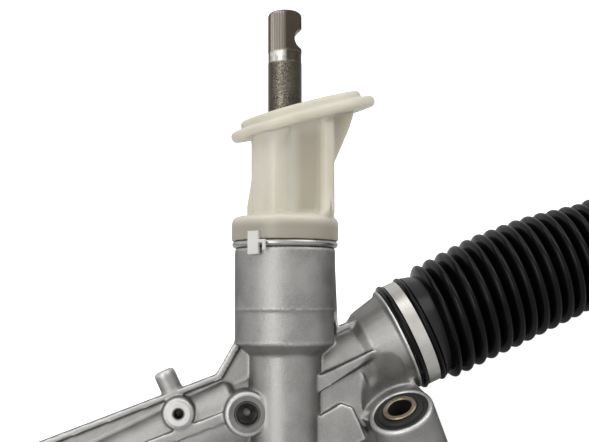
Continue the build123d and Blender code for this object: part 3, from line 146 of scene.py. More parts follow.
def speckle_group():
    """Fine grain for cast, moulded and rough surfaces.

    Three noises of rising size are mixed by weight: height = 0.59 fine + 0.31 middle + 0.1
    coarse. Blotch is the coarse one stretched about its mean, and fleck the fine one's peaks.
    """
    group = bpy.data.node_groups.new("grain", "ShaderNodeTree")
    face = group.interface
    face.new_socket("Size", in_out="INPUT", socket_type="NodeSocketFloat").default_value = 1.0
    face.new_socket("Height", in_out="OUTPUT", socket_type="NodeSocketFloat")
    face.new_socket("Blotch", in_out="OUTPUT", socket_type="NodeSocketFloat")
    face.new_socket("Fleck", in_out="OUTPUT", socket_type="NodeSocketFloat")
    nodes, links = group.nodes, group.links
    inlet, outlet = nodes.new("NodeGroupInput"), nodes.new("NodeGroupOutput")
    place = nodes.new("ShaderNodeTexCoord")
    size = nodes.new("ShaderNodeVectorMath")
    size.operation = "SCALE"
    links.new(place.outputs["Object"], size.inputs[0])
    links.new(inlet.outputs["Size"], size.inputs["Scale"])
    noises = []
    for scale, detail in ((1500.0, 2.0), (520.0, 3.0), (60.0, 3.0)):
        noise = nodes.new("ShaderNodeTexNoise")
        noise.inputs["Scale"].default_value = scale
        noise.inputs["Detail"].default_value = detail
        noise.inputs["Roughness"].default_value = 0.6
        links.new(size.outputs[0], noise.inputs["Vector"])
        noises.append(noise)
    first = nodes.new("ShaderNodeMix")
    first.inputs["Factor"].default_value = 0.35
    links.new(noises[0].outputs["Fac"], first.inputs["A"])
    links.new(noises[1].outputs["Fac"], first.inputs["B"])
    second = nodes.new("ShaderNodeMix")
    second.inputs["Factor"].default_value = 0.1
    links.new(first.outputs["Result"], second.inputs["A"])
    links.new(noises[2].outputs["Fac"], second.inputs["B"])
    spread = nodes.new("ShaderNodeMapRange")
    spread.inputs["From Min"].default_value = 0.36
    spread.inputs["From Max"].default_value = 0.64
    links.new(noises[2].outputs["Fac"], spread.inputs["Value"])
    peaks = nodes.new("ShaderNodeMapRange")
    peaks.inputs["From Min"].default_value = 0.50
    peaks.inputs["From Max"].default_value = 0.72
    links.new(noises[0].outputs["Fac"], peaks.inputs["Value"])
    links.new(second.outputs["Result"], outlet.inputs["Height"])
    links.new(spread.outputs["Result"], outlet.inputs["Blotch"])
    links.new(peaks.outputs["Result"], outlet.inputs["Fleck"])
    return group


def edge_group():
    """Mask from Pointiness: 1 where the surface turns sharply outwards, for bright rubbed edges and painted
    edge highlights; with the range turned round, 1 in creases, for painted shade.
    """
    group = bpy.data.node_groups.new("edge_wear_and_painted_light", "ShaderNodeTree")
    face = group.interface
    face.new_socket("From", in_out="INPUT", socket_type="NodeSocketFloat").default_value = 0.52
    face.new_socket("To", in_out="INPUT", socket_type="NodeSocketFloat").default_value = 0.60
    face.new_socket("Mask", in_out="OUTPUT", socket_type="NodeSocketFloat")
    nodes, links = group.nodes, group.links
    inlet, outlet = nodes.new("NodeGroupInput"), nodes.new("NodeGroupOutput")
    shape = nodes.new("ShaderNodeNewGeometry")
    level = nodes.new("ShaderNodeMapRange")
    links.new(shape.outputs["Pointiness"], level.inputs["Value"])
    links.new(inlet.outputs["From"], level.inputs["From Min"])
    links.new(inlet.outputs["To"], level.inputs["From Max"])
    links.new(level.outputs["Result"], outlet.inputs["Mask"])
    return group


GRAIN = speckle_group()
EDGES = edge_group()


def tinted(material, tint, mask, colour):
    """Colour socket that goes from a tint to a plain colour as a mask goes from 0 to 1."""
    mix = material.node_tree.nodes.new("ShaderNodeMix")
    mix.data_type = "RGBA"
    material.node_tree.links.new(mask, mix.inputs[0])
    material.node_tree.links.new(tint, mix.inputs[6])
    mix.inputs[7].default_value = (*colour, 1.0)
    return mix.outputs[2]


def finish(name, dark, light, rough, metal=0.0, bump=0.1, depth=0.0002, size=1.0, edge=None,
           edge_range=(0.52, 0.60), crease=None, crease_range=(0.492, 0.45), fleck=None, extra=()):
    """Material of grain between two colours, with pale flecks, bright rubbed edges that on the casting are
    also a painted highlight, and painted shade in the creases.

    Base colour = dark + blotch * (light - dark), then mixed to the fleck, edge and crease
    colours by their masks; roughness runs between the two values of rough with the blotches.
    """
    material = bpy.data.materials.new(name)
    material.use_nodes = True
    nodes, links = material.node_tree.nodes, material.node_tree.links
    skin = nodes["Principled BSDF"]
    skin.inputs["Metallic"].default_value = metal
    for socket, value in extra:
        skin.inputs[socket].default_value = value
    grain = nodes.new("ShaderNodeGroup")
    grain.node_tree = GRAIN
    grain.inputs["Size"].default_value = size
    colour = nodes.new("ShaderNodeMix")
    colour.data_type = "RGBA"
    colour.inputs[6].default_value = (*dark, 1.0)
    colour.inputs[7].default_value = (*light, 1.0)
    links.new(grain.outputs["Blotch"], colour.inputs[0])
    tint = colour.outputs[2]
    if fleck:
        tint = tinted(material, tint, grain.outputs["Fleck"], fleck)
    # Edge colour on sharp outward edges: rubbed metal, on the casting also a painted highlight. Crease
    # colour: painted shade in the creases.
    for wear_or_shade_colour, span in ((edge, edge_range), (crease, crease_range)):
        if wear_or_shade_colour:
            wear_and_painted_light = nodes.new("ShaderNodeGroup")
            wear_and_painted_light.node_tree = EDGES
            wear_and_painted_light.inputs["From"].default_value, wear_and_painted_light.inputs["To"].default_value = span
            tint = tinted(material, tint, wear_and_painted_light.outputs["Mask"], wear_or_shade_colour)
    links.new(tint, skin.inputs["Base Color"])
    sheen = nodes.new("ShaderNodeMapRange")
    sheen.inputs["To Min"].default_value, sheen.inputs["To Max"].default_value = rough
    links.new(grain.outputs["Blotch"], sheen.inputs["Value"])
    links.new(sheen.outputs["Result"], skin.inputs["Roughness"])
    relief = nodes.new("ShaderNodeBump")
    relief.inputs["Strength"].default_value = bump
    relief.inputs["Distance"].default_value = depth
    links.new(grain.outputs["Height"], relief.inputs["Height"])
    links.new(relief.outputs["Normal"], skin.inputs["Normal"])
    return material


def span_mask(material, point, direction, start, end):
    """Mask over a distance from a point along a direction, in metres: 0 at start, 1 at end."""
    nodes, links = material.node_tree.nodes, material.node_tree.links
    place = nodes.new("ShaderNodeTexCoord")
    along = nodes.new("ShaderNodeVectorMath")
    along.operation = "DOT_PRODUCT"
    along.inputs[1].default_value = direction
    links.new(place.outputs["Object"], along.inputs[0])
    origin = float(np.dot(point, direction))
    level = nodes.new("ShaderNodeMapRange")
    level.interpolation_type = "SMOOTHSTEP"
    level.inputs["From Min"].default_value = origin + start
    level.inputs["From Max"].default_value = origin + end
    links.new(along.outputs["Value"], level.inputs["Value"])
    return level.outputs["Result"]


def product(material, *factors):
    """Socket with the product of several sockets or numbers."""
    result = factors[0]
    for factor in factors[1:]:
        times = material.node_tree.nodes.new("ShaderNodeMath")
        times.operation = "MULTIPLY"
        material.node_tree.links.new(result, times.inputs[0])
        if isinstance(factor, float):
            times.inputs[1].default_value = factor
        else:
            material.node_tree.links.new(factor, times.inputs[1])
        result = times.outputs[0]
    return result


def solid_copy(node):
    """The node's mesh as its own object, its loose triangles merged into one skin."""
    import bmesh
    mesh = frame["nodes"][node].data.copy()
    skin = bmesh.new()
    skin.from_mesh(mesh)
    bmesh.ops.remove_doubles(skin, verts=skin.verts, dist=1e-6)
    skin.to_mesh(mesh)
    skin.free()
    mesh.materials.clear()
    return mesh


def trimmed_piece(name, node, point, normal, material):
    """The node's solid kept on the near side of a plane, its cut closed by a flat cap."""
    import bmesh
    piece = bpy.data.objects.new(name, solid_copy(node))
    scene.collection.objects.link(piece)
    body = bmesh.new()
    body.from_mesh(piece.data)
    bmesh.ops.bisect_plane(
        body, geom=body.verts[:] + body.edges[:] + body.faces[:], plane_co=point, plane_no=normal,
        clear_outer=True, dist=1e-7)
    bmesh.ops.holes_fill(body, edges=[edge for edge in body.edges if edge.is_boundary])
    bmesh.ops.recalc_face_normals(body, faces=body.faces)
    body.to_mesh(piece.data)
    body.free()
    piece.data.materials.append(material)
    piece.data.set_sharp_from_angle(angle=math.radians(34.0))
    return piece


def rounded_piece(name, node, voxel, rounds, triangles):
    """The node's solid with every edge rounded, as a casting or moulding has it.

    It is resampled on a grid of the voxel size, each vertex is then drawn to the mean of its
    neighbours for the given rounds, and flat parts are thinned to the triangle count.
    """
    piece = bpy.data.objects.new(name, solid_copy(node))
    scene.collection.objects.link(piece)
    grid = piece.modifiers.new("grid", "REMESH")
    grid.mode, grid.voxel_size = "VOXEL", voxel
    soften = piece.modifiers.new("soften", "SMOOTH")
    soften.factor, soften.iterations = 0.5, rounds
    bpy.context.view_layer.update()
    full = bpy.data.meshes.new_from_object(piece.evaluated_get(bpy.context.evaluated_depsgraph_get()))
    piece.modifiers.clear()
    piece.data = full
    full.calc_loop_triangles()
    share = triangles / max(1, len(full.loop_triangles))
    if share < 1.0:
        thin = piece.modifiers.new("thin", "DECIMATE")
        thin.ratio = share
        bpy.context.view_layer.update()
        piece.data = bpy.data.meshes.new_from_object(
            piece.evaluated_get(bpy.context.evaluated_depsgraph_get()))
        piece.modifiers.clear()
    piece.data.name = name
    piece.data.polygons.foreach_set("use_smooth", np.ones(len(piece.data.polygons), dtype=bool))
    return piece


# Cast aluminium: the edge colour is rubbed edges and a painted highlight along the rib edges; the crease
# colour is painted shade in the creases.
cast_aluminium = finish(
    "cast_aluminium", (0.245, 0.241, 0.233), (0.315, 0.311, 0.301), (0.40, 0.50), metal=1.0, bump=0.9,
    depth=0.00026, size=1.2, edge=(0.64, 0.635, 0.62), edge_range=(0.506, 0.54),
    crease=(0.18, 0.177, 0.17), crease_range=(0.478, 0.42), fleck=(0.34, 0.336, 0.325),
    extra=(("Specular Tint", (0.45, 0.45, 0.45, 1.0)),))


def softened_wall(casting, rounds=40):
    """Wide fillets where the wall under the neck runs into the eye, right of the tower.

    Vertices near (39, -8) mm in the rack's x-z plane from the crossing move to the mean of
    their neighbours; the weight falls to 0 at 14 mm and stays 0 on the eye itself.
    """
    mesh = casting.data
    points = np.empty(len(mesh.vertices) * 3)
    mesh.vertices.foreach_get("co", points)
    points = points.reshape(-1, 3) * 1000.0
    away = points - RACK_AXIS
    x = away[:, 0] - CROSSING_X
    y = away[:, 1] * math.cos(LEAN) - away[:, 2] * math.sin(LEAN)
    z = away[:, 1] * math.sin(LEAN) + away[:, 2] * math.cos(LEAN)
    weight = np.clip((14.0 - np.hypot(x - 39.0, z + 8.0)) / 6.0, 0, 1) * (y < -5.0)
    weight *= np.clip((np.hypot(points[:, 0] - 190.0, points[:, 1]) - 17.6) / 2.0, 0, 1)
    group = casting.vertex_groups.new(name="soft")
    for index in np.flatnonzero(weight > 0):
        group.add([int(index)], float(weight[index]), "REPLACE")
    soften = casting.modifiers.new("soften", "SMOOTH")
    soften.factor, soften.iterations, soften.vertex_group = 0.5, rounds, "soft"
    bpy.context.view_layer.update()
    casting.data = bpy.data.meshes.new_from_object(
        casting.evaluated_get(bpy.context.evaluated_depsgraph_get()))
    casting.modifiers.clear()
    casting.vertex_groups.clear()


casting = rounded_piece("housing_casting", "rack_housing", CASTING_VOXEL, CASTING_ROUNDS, CASTING_TRIANGLES)
softened_wall(casting)
casting.data.materials.append(cast_aluminium)
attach(casting, "housing")
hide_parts("rack_housing")

# ======================================================================================
# Machined faces of the two threaded bosses: turned rings with a drilled blind hole,
# bright against the casting. Both stand on the front of the arm left of the tower.
# ======================================================================================
def part_place(points):
    """Millimetres in the rack's frame (x along, y back, z up) to metres in the part's frame.

    The lean turns y and z about x: y' = y cos + z sin, z' = z cos - y sin; then the rack
    axis is added.
    """
    x, y, z = points[..., 0], points[..., 1], points[..., 2]
    turned = np.stack((
        x, y * math.cos(LEAN) + z * math.sin(LEAN), z * math.cos(LEAN) - y * math.sin(LEAN)), -1)
    return (turned + RACK_AXIS) / 1000.0


def spun(outline, steps=96):
    """Grid of an outline of (radius, height) points turned about the height axis.

    Point (i, j) = (r_i cos a_j, r_i sin a_j, h_i), with a_j in equal steps of the full turn.
    """
    outline = np.asarray(outline, dtype=float)
    angle = np.arange(steps) * (2 * math.pi / steps)
    radius, height = outline[:, :1], outline[:, 1:]
    return np.stack((radius * np.cos(angle), radius * np.sin(angle), height + 0 * angle), -1)


def skin_of(name, grid, material, closed_rows=True, sharp=34.0):
    """Mesh of a grid of points: its columns close round, its rows close too or end in caps.

    Quad (i, j) joins rows i and i + 1 at columns j and j + 1; each open end row is filled by
    one face. Normals are made consistent and outward at the end.
    """
    import bmesh
    rows, columns = grid.shape[:2]
    index = np.arange(rows * columns).reshape(rows, columns)
    below, above = (index, np.roll(index, -1, 0)) if closed_rows else (index[:-1], index[1:])
    quads = np.stack((below, np.roll(below, -1, 1), np.roll(above, -1, 1), above), -1).reshape(-1, 4)
    faces = quads.tolist()
    if not closed_rows:
        faces += [index[0, ::-1].tolist(), index[-1].tolist()]
    mesh = bpy.data.meshes.new(name)
    mesh.from_pydata(grid.reshape(-1, 3).tolist(), [], faces)
    body = bmesh.new()
    body.from_mesh(mesh)
    bmesh.ops.remove_doubles(body, verts=body.verts, dist=1e-7)
    bmesh.ops.recalc_face_normals(body, faces=body.faces)
    body.to_mesh(mesh)
    body.free()
    mesh.polygons.foreach_set("use_smooth", np.ones(len(mesh.polygons), dtype=bool))
    mesh.set_sharp_from_angle(angle=math.radians(sharp))
    piece = bpy.data.objects.new(name, mesh)
    scene.collection.objects.link(piece)
    mesh.materials.append(material)
    return piece


def facing_front(grid, x, z):
    """A grid turned about its height axis, set to stand out towards the front at (x, z)."""
    a, b, h = grid[..., 0], grid[..., 1], grid[..., 2]
    return part_place(np.stack((CROSSING_X + x + a, -h, z + b), -1))


def machined_face(radius, hole, face, countersink):
    """Closed outline of a machined ring, its bore chamfered by the countersink."""
    return [
        (hole + 0.05, face - countersink - 0.4), (hole + 0.05, face - countersink - 0.1),
        (hole + countersink, face), (radius - 0.25, face), (radius, face - 0.25),
        (radius + 0.1, face - 1.6), (hole + 0.5, face - 1.8)]


def drilled_hole(hole, face, depth, point):
    """Closed outline of a blind hole's wall, from the drill point up to just under the face."""
    return [
        (0.02, face - depth - point), (hole * 0.55, face - depth - point * 0.45), (hole - 0.05, face - depth),
        (hole - 0.05, face - 0.5), (hole + 0.3, face - 0.5), (hole + 0.3, face - depth - 0.4),
        (hole * 0.55, face - depth - point * 0.45 - 0.5), (0.02, face - depth - point - 0.5)]


machined = finish(
    "machined_aluminium", (0.53, 0.525, 0.51), (0.62, 0.615, 0.60), (0.30, 0.38), metal=1.0, bump=0.06,
    depth=0.00008)
# Darker machined aluminium: the big boss's face, and painted shade on the small boss's hole wall.
machined_dull_and_hole_shade = finish(
    "machined_dull_and_hole_shade", (0.14, 0.138, 0.133), (0.20, 0.198, 0.19), (0.36, 0.48), metal=1.0, bump=0.08,
    depth=0.0001)
# Near-black hole wall: painted shade inside the big boss's blind hole.
drilled_dark = finish(
    "drilled_hole_painted_shade", (0.09, 0.087, 0.082), (0.17, 0.166, 0.157), (0.26, 0.38), metal=1.0, bump=0.1,
    depth=0.0001)
# Each hole wall takes a darker finish than its face: painted shade inside the blind holes.
BOSSES = (
    ("small", -51.8, 15.4, 6.1, 2.6, 24.15, 11.0, 0.6, 1.6, machined, machined_dull_and_hole_shade),
    ("big", -21.0, 1.2, 9.15, 5.65, 29.65, 9.5, 0.9, 3.4, machined_dull_and_hole_shade, drilled_dark))
for label, x, z, radius, hole, face, depth, countersink, point, face_finish, hole_painted_shade in BOSSES:
    outlines = ((machined_face(radius, hole, face, countersink), "face", face_finish),
                (drilled_hole(hole, face, depth, point), "hole", hole_painted_shade))
    for outline, part, material in outlines:
        ring = skin_of(f"{label}_boss_{part}", facing_front(spun(outline), x, z), material)
        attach(ring, "housing")

# ======================================================================================
# Bushes in the two eyes: a moulded rubber ring with a raised land on each face, bonded
# to a plated steel sleeve that the mounting bolt clamps.
# ======================================================================================
MOUNT_X = 190.0

bush_rubber = finish(
    "bush_rubber", (0.012, 0.012, 0.012), (0.028, 0.027, 0.026), (0.50, 0.65), bump=0.25, depth=0.0002,
    extra=(("Specular IOR Level", 0.3),))
sleeve_plate = finish(
    "sleeve_plate", (0.22, 0.18, 0.12), (0.34, 0.29, 0.21), (0.40, 0.55), metal=1.0, bump=0.3, depth=0.0002,
    fleck=(0.42, 0.37, 0.28))
# Near-black lining of the bolt bore: painted shade in the deep hole.
bore_painted_shade = finish("bore_painted_shade", (0.006, 0.005, 0.004), (0.012, 0.010, 0.008), (0.5, 0.7))


def upright(grid, side):
    """A grid about its height axis, stood upright on the bolt axis of that side, in metres."""
    return (grid + np.array((side * MOUNT_X, 0.0, 0.0))) / 1000.0


def bush_rubber_outline():
    """Closed outline of the rubber: a sunk outer ring, a rounded raised land, a lip at the sleeve."""
    top = [
        (13.8, 36.9), (13.2, 37.6), (12.4, 37.7), (12.0, 37.5), (11.75, 38.4), (11.3, 38.9), (10.2, 39.05),
        (9.2, 38.9), (8.64, 38.4)]
    foot = [(r, 40.0 - h) for r, h in reversed(top)]
    return top + foot


def sleeve_outline():
    """Closed outline of the sleeve, its ends chamfered inside and out."""
    top = [(6.2, 39.6), (6.5, 39.95), (8.2, 39.95), (8.6, 39.5)]
    return top + [(r, 40.0 - h) for r, h in reversed(top)]


def bore_outline():
    """Closed outline of the near-black lining inside the sleeve's bore: painted shade in the deep hole."""
    return [(6.1, 0.7), (6.1, 39.3), (6.25, 39.5), (6.25, 0.5)]


for side, label in ((1, "right"), (-1, "left")):
    rubber = skin_of(f"{label}_bush_rubber", upright(spun(bush_rubber_outline(), 128), side), bush_rubber)
    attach(rubber, "housing")
    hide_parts(f"{label}_mount_rubber")
    sleeve = skin_of(f"{label}_bush_sleeve", upright(spun(sleeve_outline(), 128), side), sleeve_plate)
    bore = skin_of(f"{label}_bolt_bore", upright(spun(bore_outline(), 128), side), bore_painted_shade)
    for piece in (sleeve, bore):
        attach(piece, "housing")
        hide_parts(f"{label}_mount_sleeve")

# ======================================================================================
# Pinion shaft: forged and phosphated steel. A turned relief and 36 rolled serrations at
# the top take the steering column's clamp; a cross notch and a flat locate it.
# ======================================================================================
CROSS = math.radians(25.0)
PINION_OFFSET = 14.9243


def pinion_place(points):
    """Millimetres in the pinion's frame (u right, v back, s along the shaft) to metres.

    The shaft leans in the rack's x-z plane: x = u cos + s sin, z = s cos - u sin.
    """
    u, v, s = points[..., 0], points[..., 1], points[..., 2]
    x = u * math.cos(CROSS) + s * math.sin(CROSS)
    z = s * math.cos(CROSS) - u * math.sin(CROSS)
    return part_place(np.stack((CROSSING_X + x, v - PINION_OFFSET, z), -1))


PINION_AXIS = (0.4226183, 0.4254857, 0.8002223)
PINION_RIGHT = (0.9063078, -0.1984077, -0.3731540)
PINION_BACK = (0.0, 0.8829476, -0.4694716)
SHAFT_TOP = 197.9
SHAFT_RADIUS = 8.75
SERRATIONS = 36
NOTCH_HEIGHT = 183.6
NOTCH_RADIUS = 5.8
NOTCH_DEPTH = 4.0
FLAT_FROM = 177.0
FLAT_DISTANCE = 7.2
FLAT_ANGLE = math.radians(58.0)


def shaft_grid():
    """Outside of the input shaft from the seal to its top, radius by height and angle.

    Radius = outline(s) - groove(a) on the serrated length, cut off by the notch, a cylinder
    across the shaft: u < notch centre - sqrt(R^2 - (s - s0)^2), and by a flat: u' < distance.
    """
    s = np.concatenate((
        np.linspace(76.0, 170.2, 24), np.linspace(170.4, 176.6, 20), np.linspace(176.7, 195.2, 80),
        np.linspace(195.35, SHAFT_TOP, 16)))
    a = np.arange(SERRATIONS * 8) * (2 * math.pi / (SERRATIONS * 8))
    outline = np.interp(
        s, (76, 100, 106, 170.6, 171.2, 175.6, 176.1, 195.3, 196.2, 197.0, 197.6, 197.9),
        (8.5, 8.5, 8.75, 8.75, 8.6, 8.6, 8.75, 8.75, 8.55, 7.95, 7.1, 6.2))
    wave = 0.5 - 0.5 * np.cos(a * SERRATIONS)
    cut = np.interp(s, (175.8, 177.0, 195.8, 197.2), (0.0, 0.5, 0.5, 0.0))
    radius = outline[:, None] - cut[:, None] * wave[None, :] ** 0.8
    across = np.clip(NOTCH_RADIUS ** 2 - (s - NOTCH_HEIGHT) ** 2, 0, None) ** 0.5
    floor_of_notch = np.where(across > 0, SHAFT_RADIUS + NOTCH_RADIUS - NOTCH_DEPTH - across, 1e3)
    limit = floor_of_notch[:, None] / np.clip(np.cos(a), 1e-3, None)[None, :]
    radius = np.where(np.cos(a)[None, :] > 0, np.minimum(radius, limit), radius)
    beside = np.cos(a + FLAT_ANGLE)
    flat = np.where((beside > 0) & (s[:, None] > FLAT_FROM), FLAT_DISTANCE / np.clip(beside, 1e-3, None), 1e3)
    radius = np.minimum(radius, flat)
    return np.stack((radius * np.cos(a), radius * np.sin(a), s[:, None] + 0 * a), -1)


def shaft_steel():
    """Phosphated steel, brown-black, with a painted highlight in fine paler specks on its front left side.

    Above the speckled length the steel is plain brown, with a plain painted highlight on that side and bright
    painted streaks on the turned relief;
    the side is the distance along the direction -0.55 right - 0.835 back.
    """
    material = finish(
        "phosphated_steel", (0.035, 0.029, 0.022), (0.065, 0.054, 0.041), (0.30, 0.42), metal=1.0, bump=0.5,
        depth=0.00025, size=1.3, fleck=(0.14, 0.120, 0.094))
    nodes, links = material.node_tree.nodes, material.node_tree.links
    centre = pinion_place(np.zeros(3))
    facing = np.array(PINION_RIGHT) * -0.55 - np.array(PINION_BACK) * 0.835
    # Streaky noise that breaks up the painted highlight on the turned relief.
    streak = nodes.new("ShaderNodeTexNoise")
    streak.inputs["Scale"].default_value = 420.0
    streak.inputs["Detail"].default_value = 3.0
    place = nodes.new("ShaderNodeTexCoord")
    links.new(place.outputs["Object"], streak.inputs["Vector"])
    wear_and_painted_light = nodes.new("ShaderNodeMapRange")
    wear_and_painted_light.inputs["From Min"].default_value = 0.38
    wear_and_painted_light.inputs["From Max"].default_value = 0.60
    wear_and_painted_light.inputs["To Min"].default_value = 0.35
    links.new(streak.outputs["Fac"], wear_and_painted_light.inputs["Value"])
    skin = nodes["Principled BSDF"]
    tint = skin.inputs["Base Color"].links[0].from_socket
    # Fine specks that break the painted highlight on the front left side into glints.
    specks = nodes.new("ShaderNodeTexNoise")
    specks.inputs["Scale"].default_value = 1500.0
    specks.inputs["Detail"].default_value = 2.0
    links.new(place.outputs["Object"], specks.inputs["Vector"])
    glint_specks = nodes.new("ShaderNodeMapRange")
    glint_specks.inputs["From Min"].default_value = 0.42
    glint_specks.inputs["From Max"].default_value = 0.62
    links.new(specks.outputs["Fac"], glint_specks.inputs["Value"])
    # Painted highlight: paler specks on the front left side.
    lit = product(
        material, span_mask(material, centre, facing, 0.0046, 0.0084), glint_specks.outputs["Result"],
        span_mask(material, centre, PINION_RIGHT, -0.0078, -0.0045), 0.8)
    tint = tinted(material, tint, lit, (0.27, 0.24, 0.20))
    above = span_mask(material, centre, PINION_AXIS, 0.1700, 0.1714)
    smooth_brown = tinted(material, tint, above, (0.062, 0.051, 0.039))
    # Painted highlight: a plain paler tone on that side above the speckled length.
    side = span_mask(material, centre, facing, 0.0066, 0.0084)
    tint = tinted(material, smooth_brown, product(material, above, side, 0.9), (0.30, 0.275, 0.24))
    # Painted highlight: bright streaks on that side of the turned relief.
    streaked_highlight = product(material, above, side, wear_and_painted_light.outputs["Result"])
    relief = product(material, streaked_highlight, span_mask(material, centre, PINION_AXIS, 0.1768, 0.1752))
    links.new(tinted(material, tint, relief, (0.66, 0.64, 0.60)), skin.inputs["Base Color"])
    return material


phosphated = shaft_steel()
input_shaft = skin_of(
    "input_shaft_top", pinion_place(shaft_grid()), phosphated, closed_rows=False, sharp=50.0)
pinion_foot = trimmed_piece(
    "pinion_shaft_foot", "pinion_shaft", pinion_place(np.array((0.0, 0.0, 76.5))), PINION_AXIS, phosphated)
for piece in (input_shaft, pinion_foot):
    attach(piece, "pinion")
    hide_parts("pinion_shaft")

# ======================================================================================
# Wire ring and clip: a round spring wire lies on the tower's rim under the cover, and a
# small moulded clip hooks it on the front left.
# ======================================================================================
TOWER_TOP = 74.6
WIRE_RADIUS = 1.75
WIRE_CENTRE = 25.32


def torus(centre, radius, height, round_steps=18, steps=144):
    """Grid of a round wire bent to a ring: (R + r cos b) turned about the axis, r sin b high."""
    b = -np.arange(round_steps) * (2 * math.pi / round_steps)
    return spun(np.stack((centre + radius * np.cos(b), height + radius * np.sin(b)), -1), steps)


spring_wire = finish(
    "spring_wire", (0.30, 0.295, 0.285), (0.44, 0.43, 0.41), (0.26, 0.36), metal=1.0, bump=0.05, depth=0.0001)
wire = skin_of(
    "cover_wire_ring", pinion_place(torus(WIRE_CENTRE, WIRE_RADIUS, TOWER_TOP + 1.78)), spring_wire)
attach(wire, "housing")
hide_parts("dust_cover_ring")

clip_white = finish(
    "clip_white", (0.74, 0.73, 0.70), (0.84, 0.83, 0.81), (0.42, 0.55), bump=0.08, depth=0.0001)
clip = rounded_piece("wire_ring_clip", "ring_clip", 0.00016, 4, 12000)
clip.data.materials.append(clip_white)
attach(clip, "housing")
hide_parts("ring_clip")

# ======================================================================================
# Dust cover: natural nylon, moulded in one piece. A collar grips the tower's neck, the
# hollow column carries a slanted oval flange that seals against the bulkhead.
# ======================================================================================
COVER_SKIN = 16.2
FRONT_RUN = (
    (-19.6, -8.6), (-17.2, -9.0), (-16.6, -11.3), (-14.0, -14.3), (-10.6, -17.0), (-9.2, -18.8),
    (-6.8, -20.2), (-4.2, -20.3), (-1.6, -19.2), (0.6, -17.7), (3.0, -16.7), (8.0, -16.2),
    (13.0, -16.4), (15.4, -17.0), (17.2, -18.6),
    (19.0, -19.8), (21.0, -20.2), (22.8, -19.6), (23.9, -17.2), (24.4, -9.0))


def pinion_local(points):
    """Metres in the part's frame to millimetres in the pinion's frame, the inverse of pinion_place."""
    away = np.asarray(points) * 1000.0 - pinion_place(np.zeros(3)) * 1000.0
    return np.stack((away @ PINION_RIGHT, away @ PINION_BACK, away @ PINION_AXIS), -1)


def reshaped_front(points):
    """The column's front drawn to a run of (u, v): a soft ridge, a sunk hollow and a narrow ridge.

    v goes to front(u) by a weight that fades in above the collar, towards the flange and
    round the sides; close under the flange the wall flares forward by 3 t^2 mm. The gusset's
    top is drawn up into the flange.
    """
    u, v, s = pinion_local(points).T
    under = 138.9 + (u - 10.2) * math.tan(math.radians(15.6)) + v * math.tan(math.radians(5.0))
    skin = (np.hypot(u - 3.6, v) > COVER_SKIN) & (v < -8.5) & (u > -20.0) & (u < 24.5) & (v > -21.0)
    weight = (
        np.clip((s - 89.6) / 2.6, 0, 1) * np.clip((under - s - 0.5) / 4.0, 0, 1)
        * np.clip((-8.5 - v) / 3.0, 0, 1))
    weight = weight * weight * (3 - 2 * weight) * skin
    flare = 3.0 * np.clip((s - under + 8.0) / 8.0, 0, 1) ** 2 * skin
    moved = v + (np.interp(u, *zip(*FRONT_RUN)) - v) * weight - flare * (s < under)
    gusset = (u > 24.6) & (np.abs(v) < 8.6) & (s < under - 0.15)
    lift = np.clip(under + 0.7 - 143.1, 0, None) * np.clip((s - 136.0) / 7.1, 0, 1) * gusset
    return pinion_place(np.stack((u, moved, s + lift), -1))


def nylon():
    """Natural nylon, greyer low down over the metal neck, partly where the metal shows through and partly as
    painted shade, and tanner in the column's hollow as painted shade.
    """
    material = finish(
        "natural_nylon", (0.67, 0.63, 0.52), (0.73, 0.70, 0.60), (0.32, 0.42), bump=0.05, depth=0.0002,
        size=0.6, extra=(("Subsurface Weight", 0.55), ("Subsurface Radius", (0.006, 0.0044, 0.0026)),
               ("Subsurface Scale", 1.0)))
    centre = pinion_place(np.zeros(3))
    skin = material.node_tree.nodes["Principled BSDF"]
    tint = skin.inputs["Base Color"].links[0].from_socket
    # Greyer low down on the collar: partly the metal neck showing through the nylon, partly painted shade.
    low = product(material, span_mask(material, centre, PINION_AXIS, 0.0895, 0.0840), 0.85)
    tint = tinted(material, tint, low, (0.34, 0.315, 0.25))
    # Tan in the column's hollow: painted shade in the recess.
    hollow = product(
        material, span_mask(material, centre, PINION_RIGHT, 0.0010, 0.0085),
        span_mask(material, centre, PINION_RIGHT, 0.0178, 0.0150),
        span_mask(material, centre, PINION_BACK, -0.010, -0.0135),
        span_mask(material, centre, PINION_AXIS, 0.140, 0.128),
        span_mask(material, centre, PINION_AXIS, 0.0905, 0.0945), 0.75)
    tan = tinted(material, tint, hollow, (0.40, 0.355, 0.27))
    material.node_tree.links.new(tan, skin.inputs["Base Color"])
    return material


natural_nylon = nylon()
cover = rounded_piece("nylon_dust_cover", "dust_cover", 0.0005, 10, 120000)
points = np.empty(len(cover.data.vertices) * 3)
cover.data.vertices.foreach_get("co", points)
cover.data.vertices.foreach_set("co", reshaped_front(points.reshape(-1, 3)).reshape(-1))
cover.data.update()
soften = cover.modifiers.new("soften", "SMOOTH")
soften.factor, soften.iterations = 0.5, 6
cover.data = bpy.data.meshes.new_from_object(cover.evaluated_get(bpy.context.evaluated_depsgraph_get()))
cover.modifiers.clear()
cover.data.materials.clear()
cover.data.materials.append(natural_nylon)
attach(cover, "housing")
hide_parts("dust_cover")

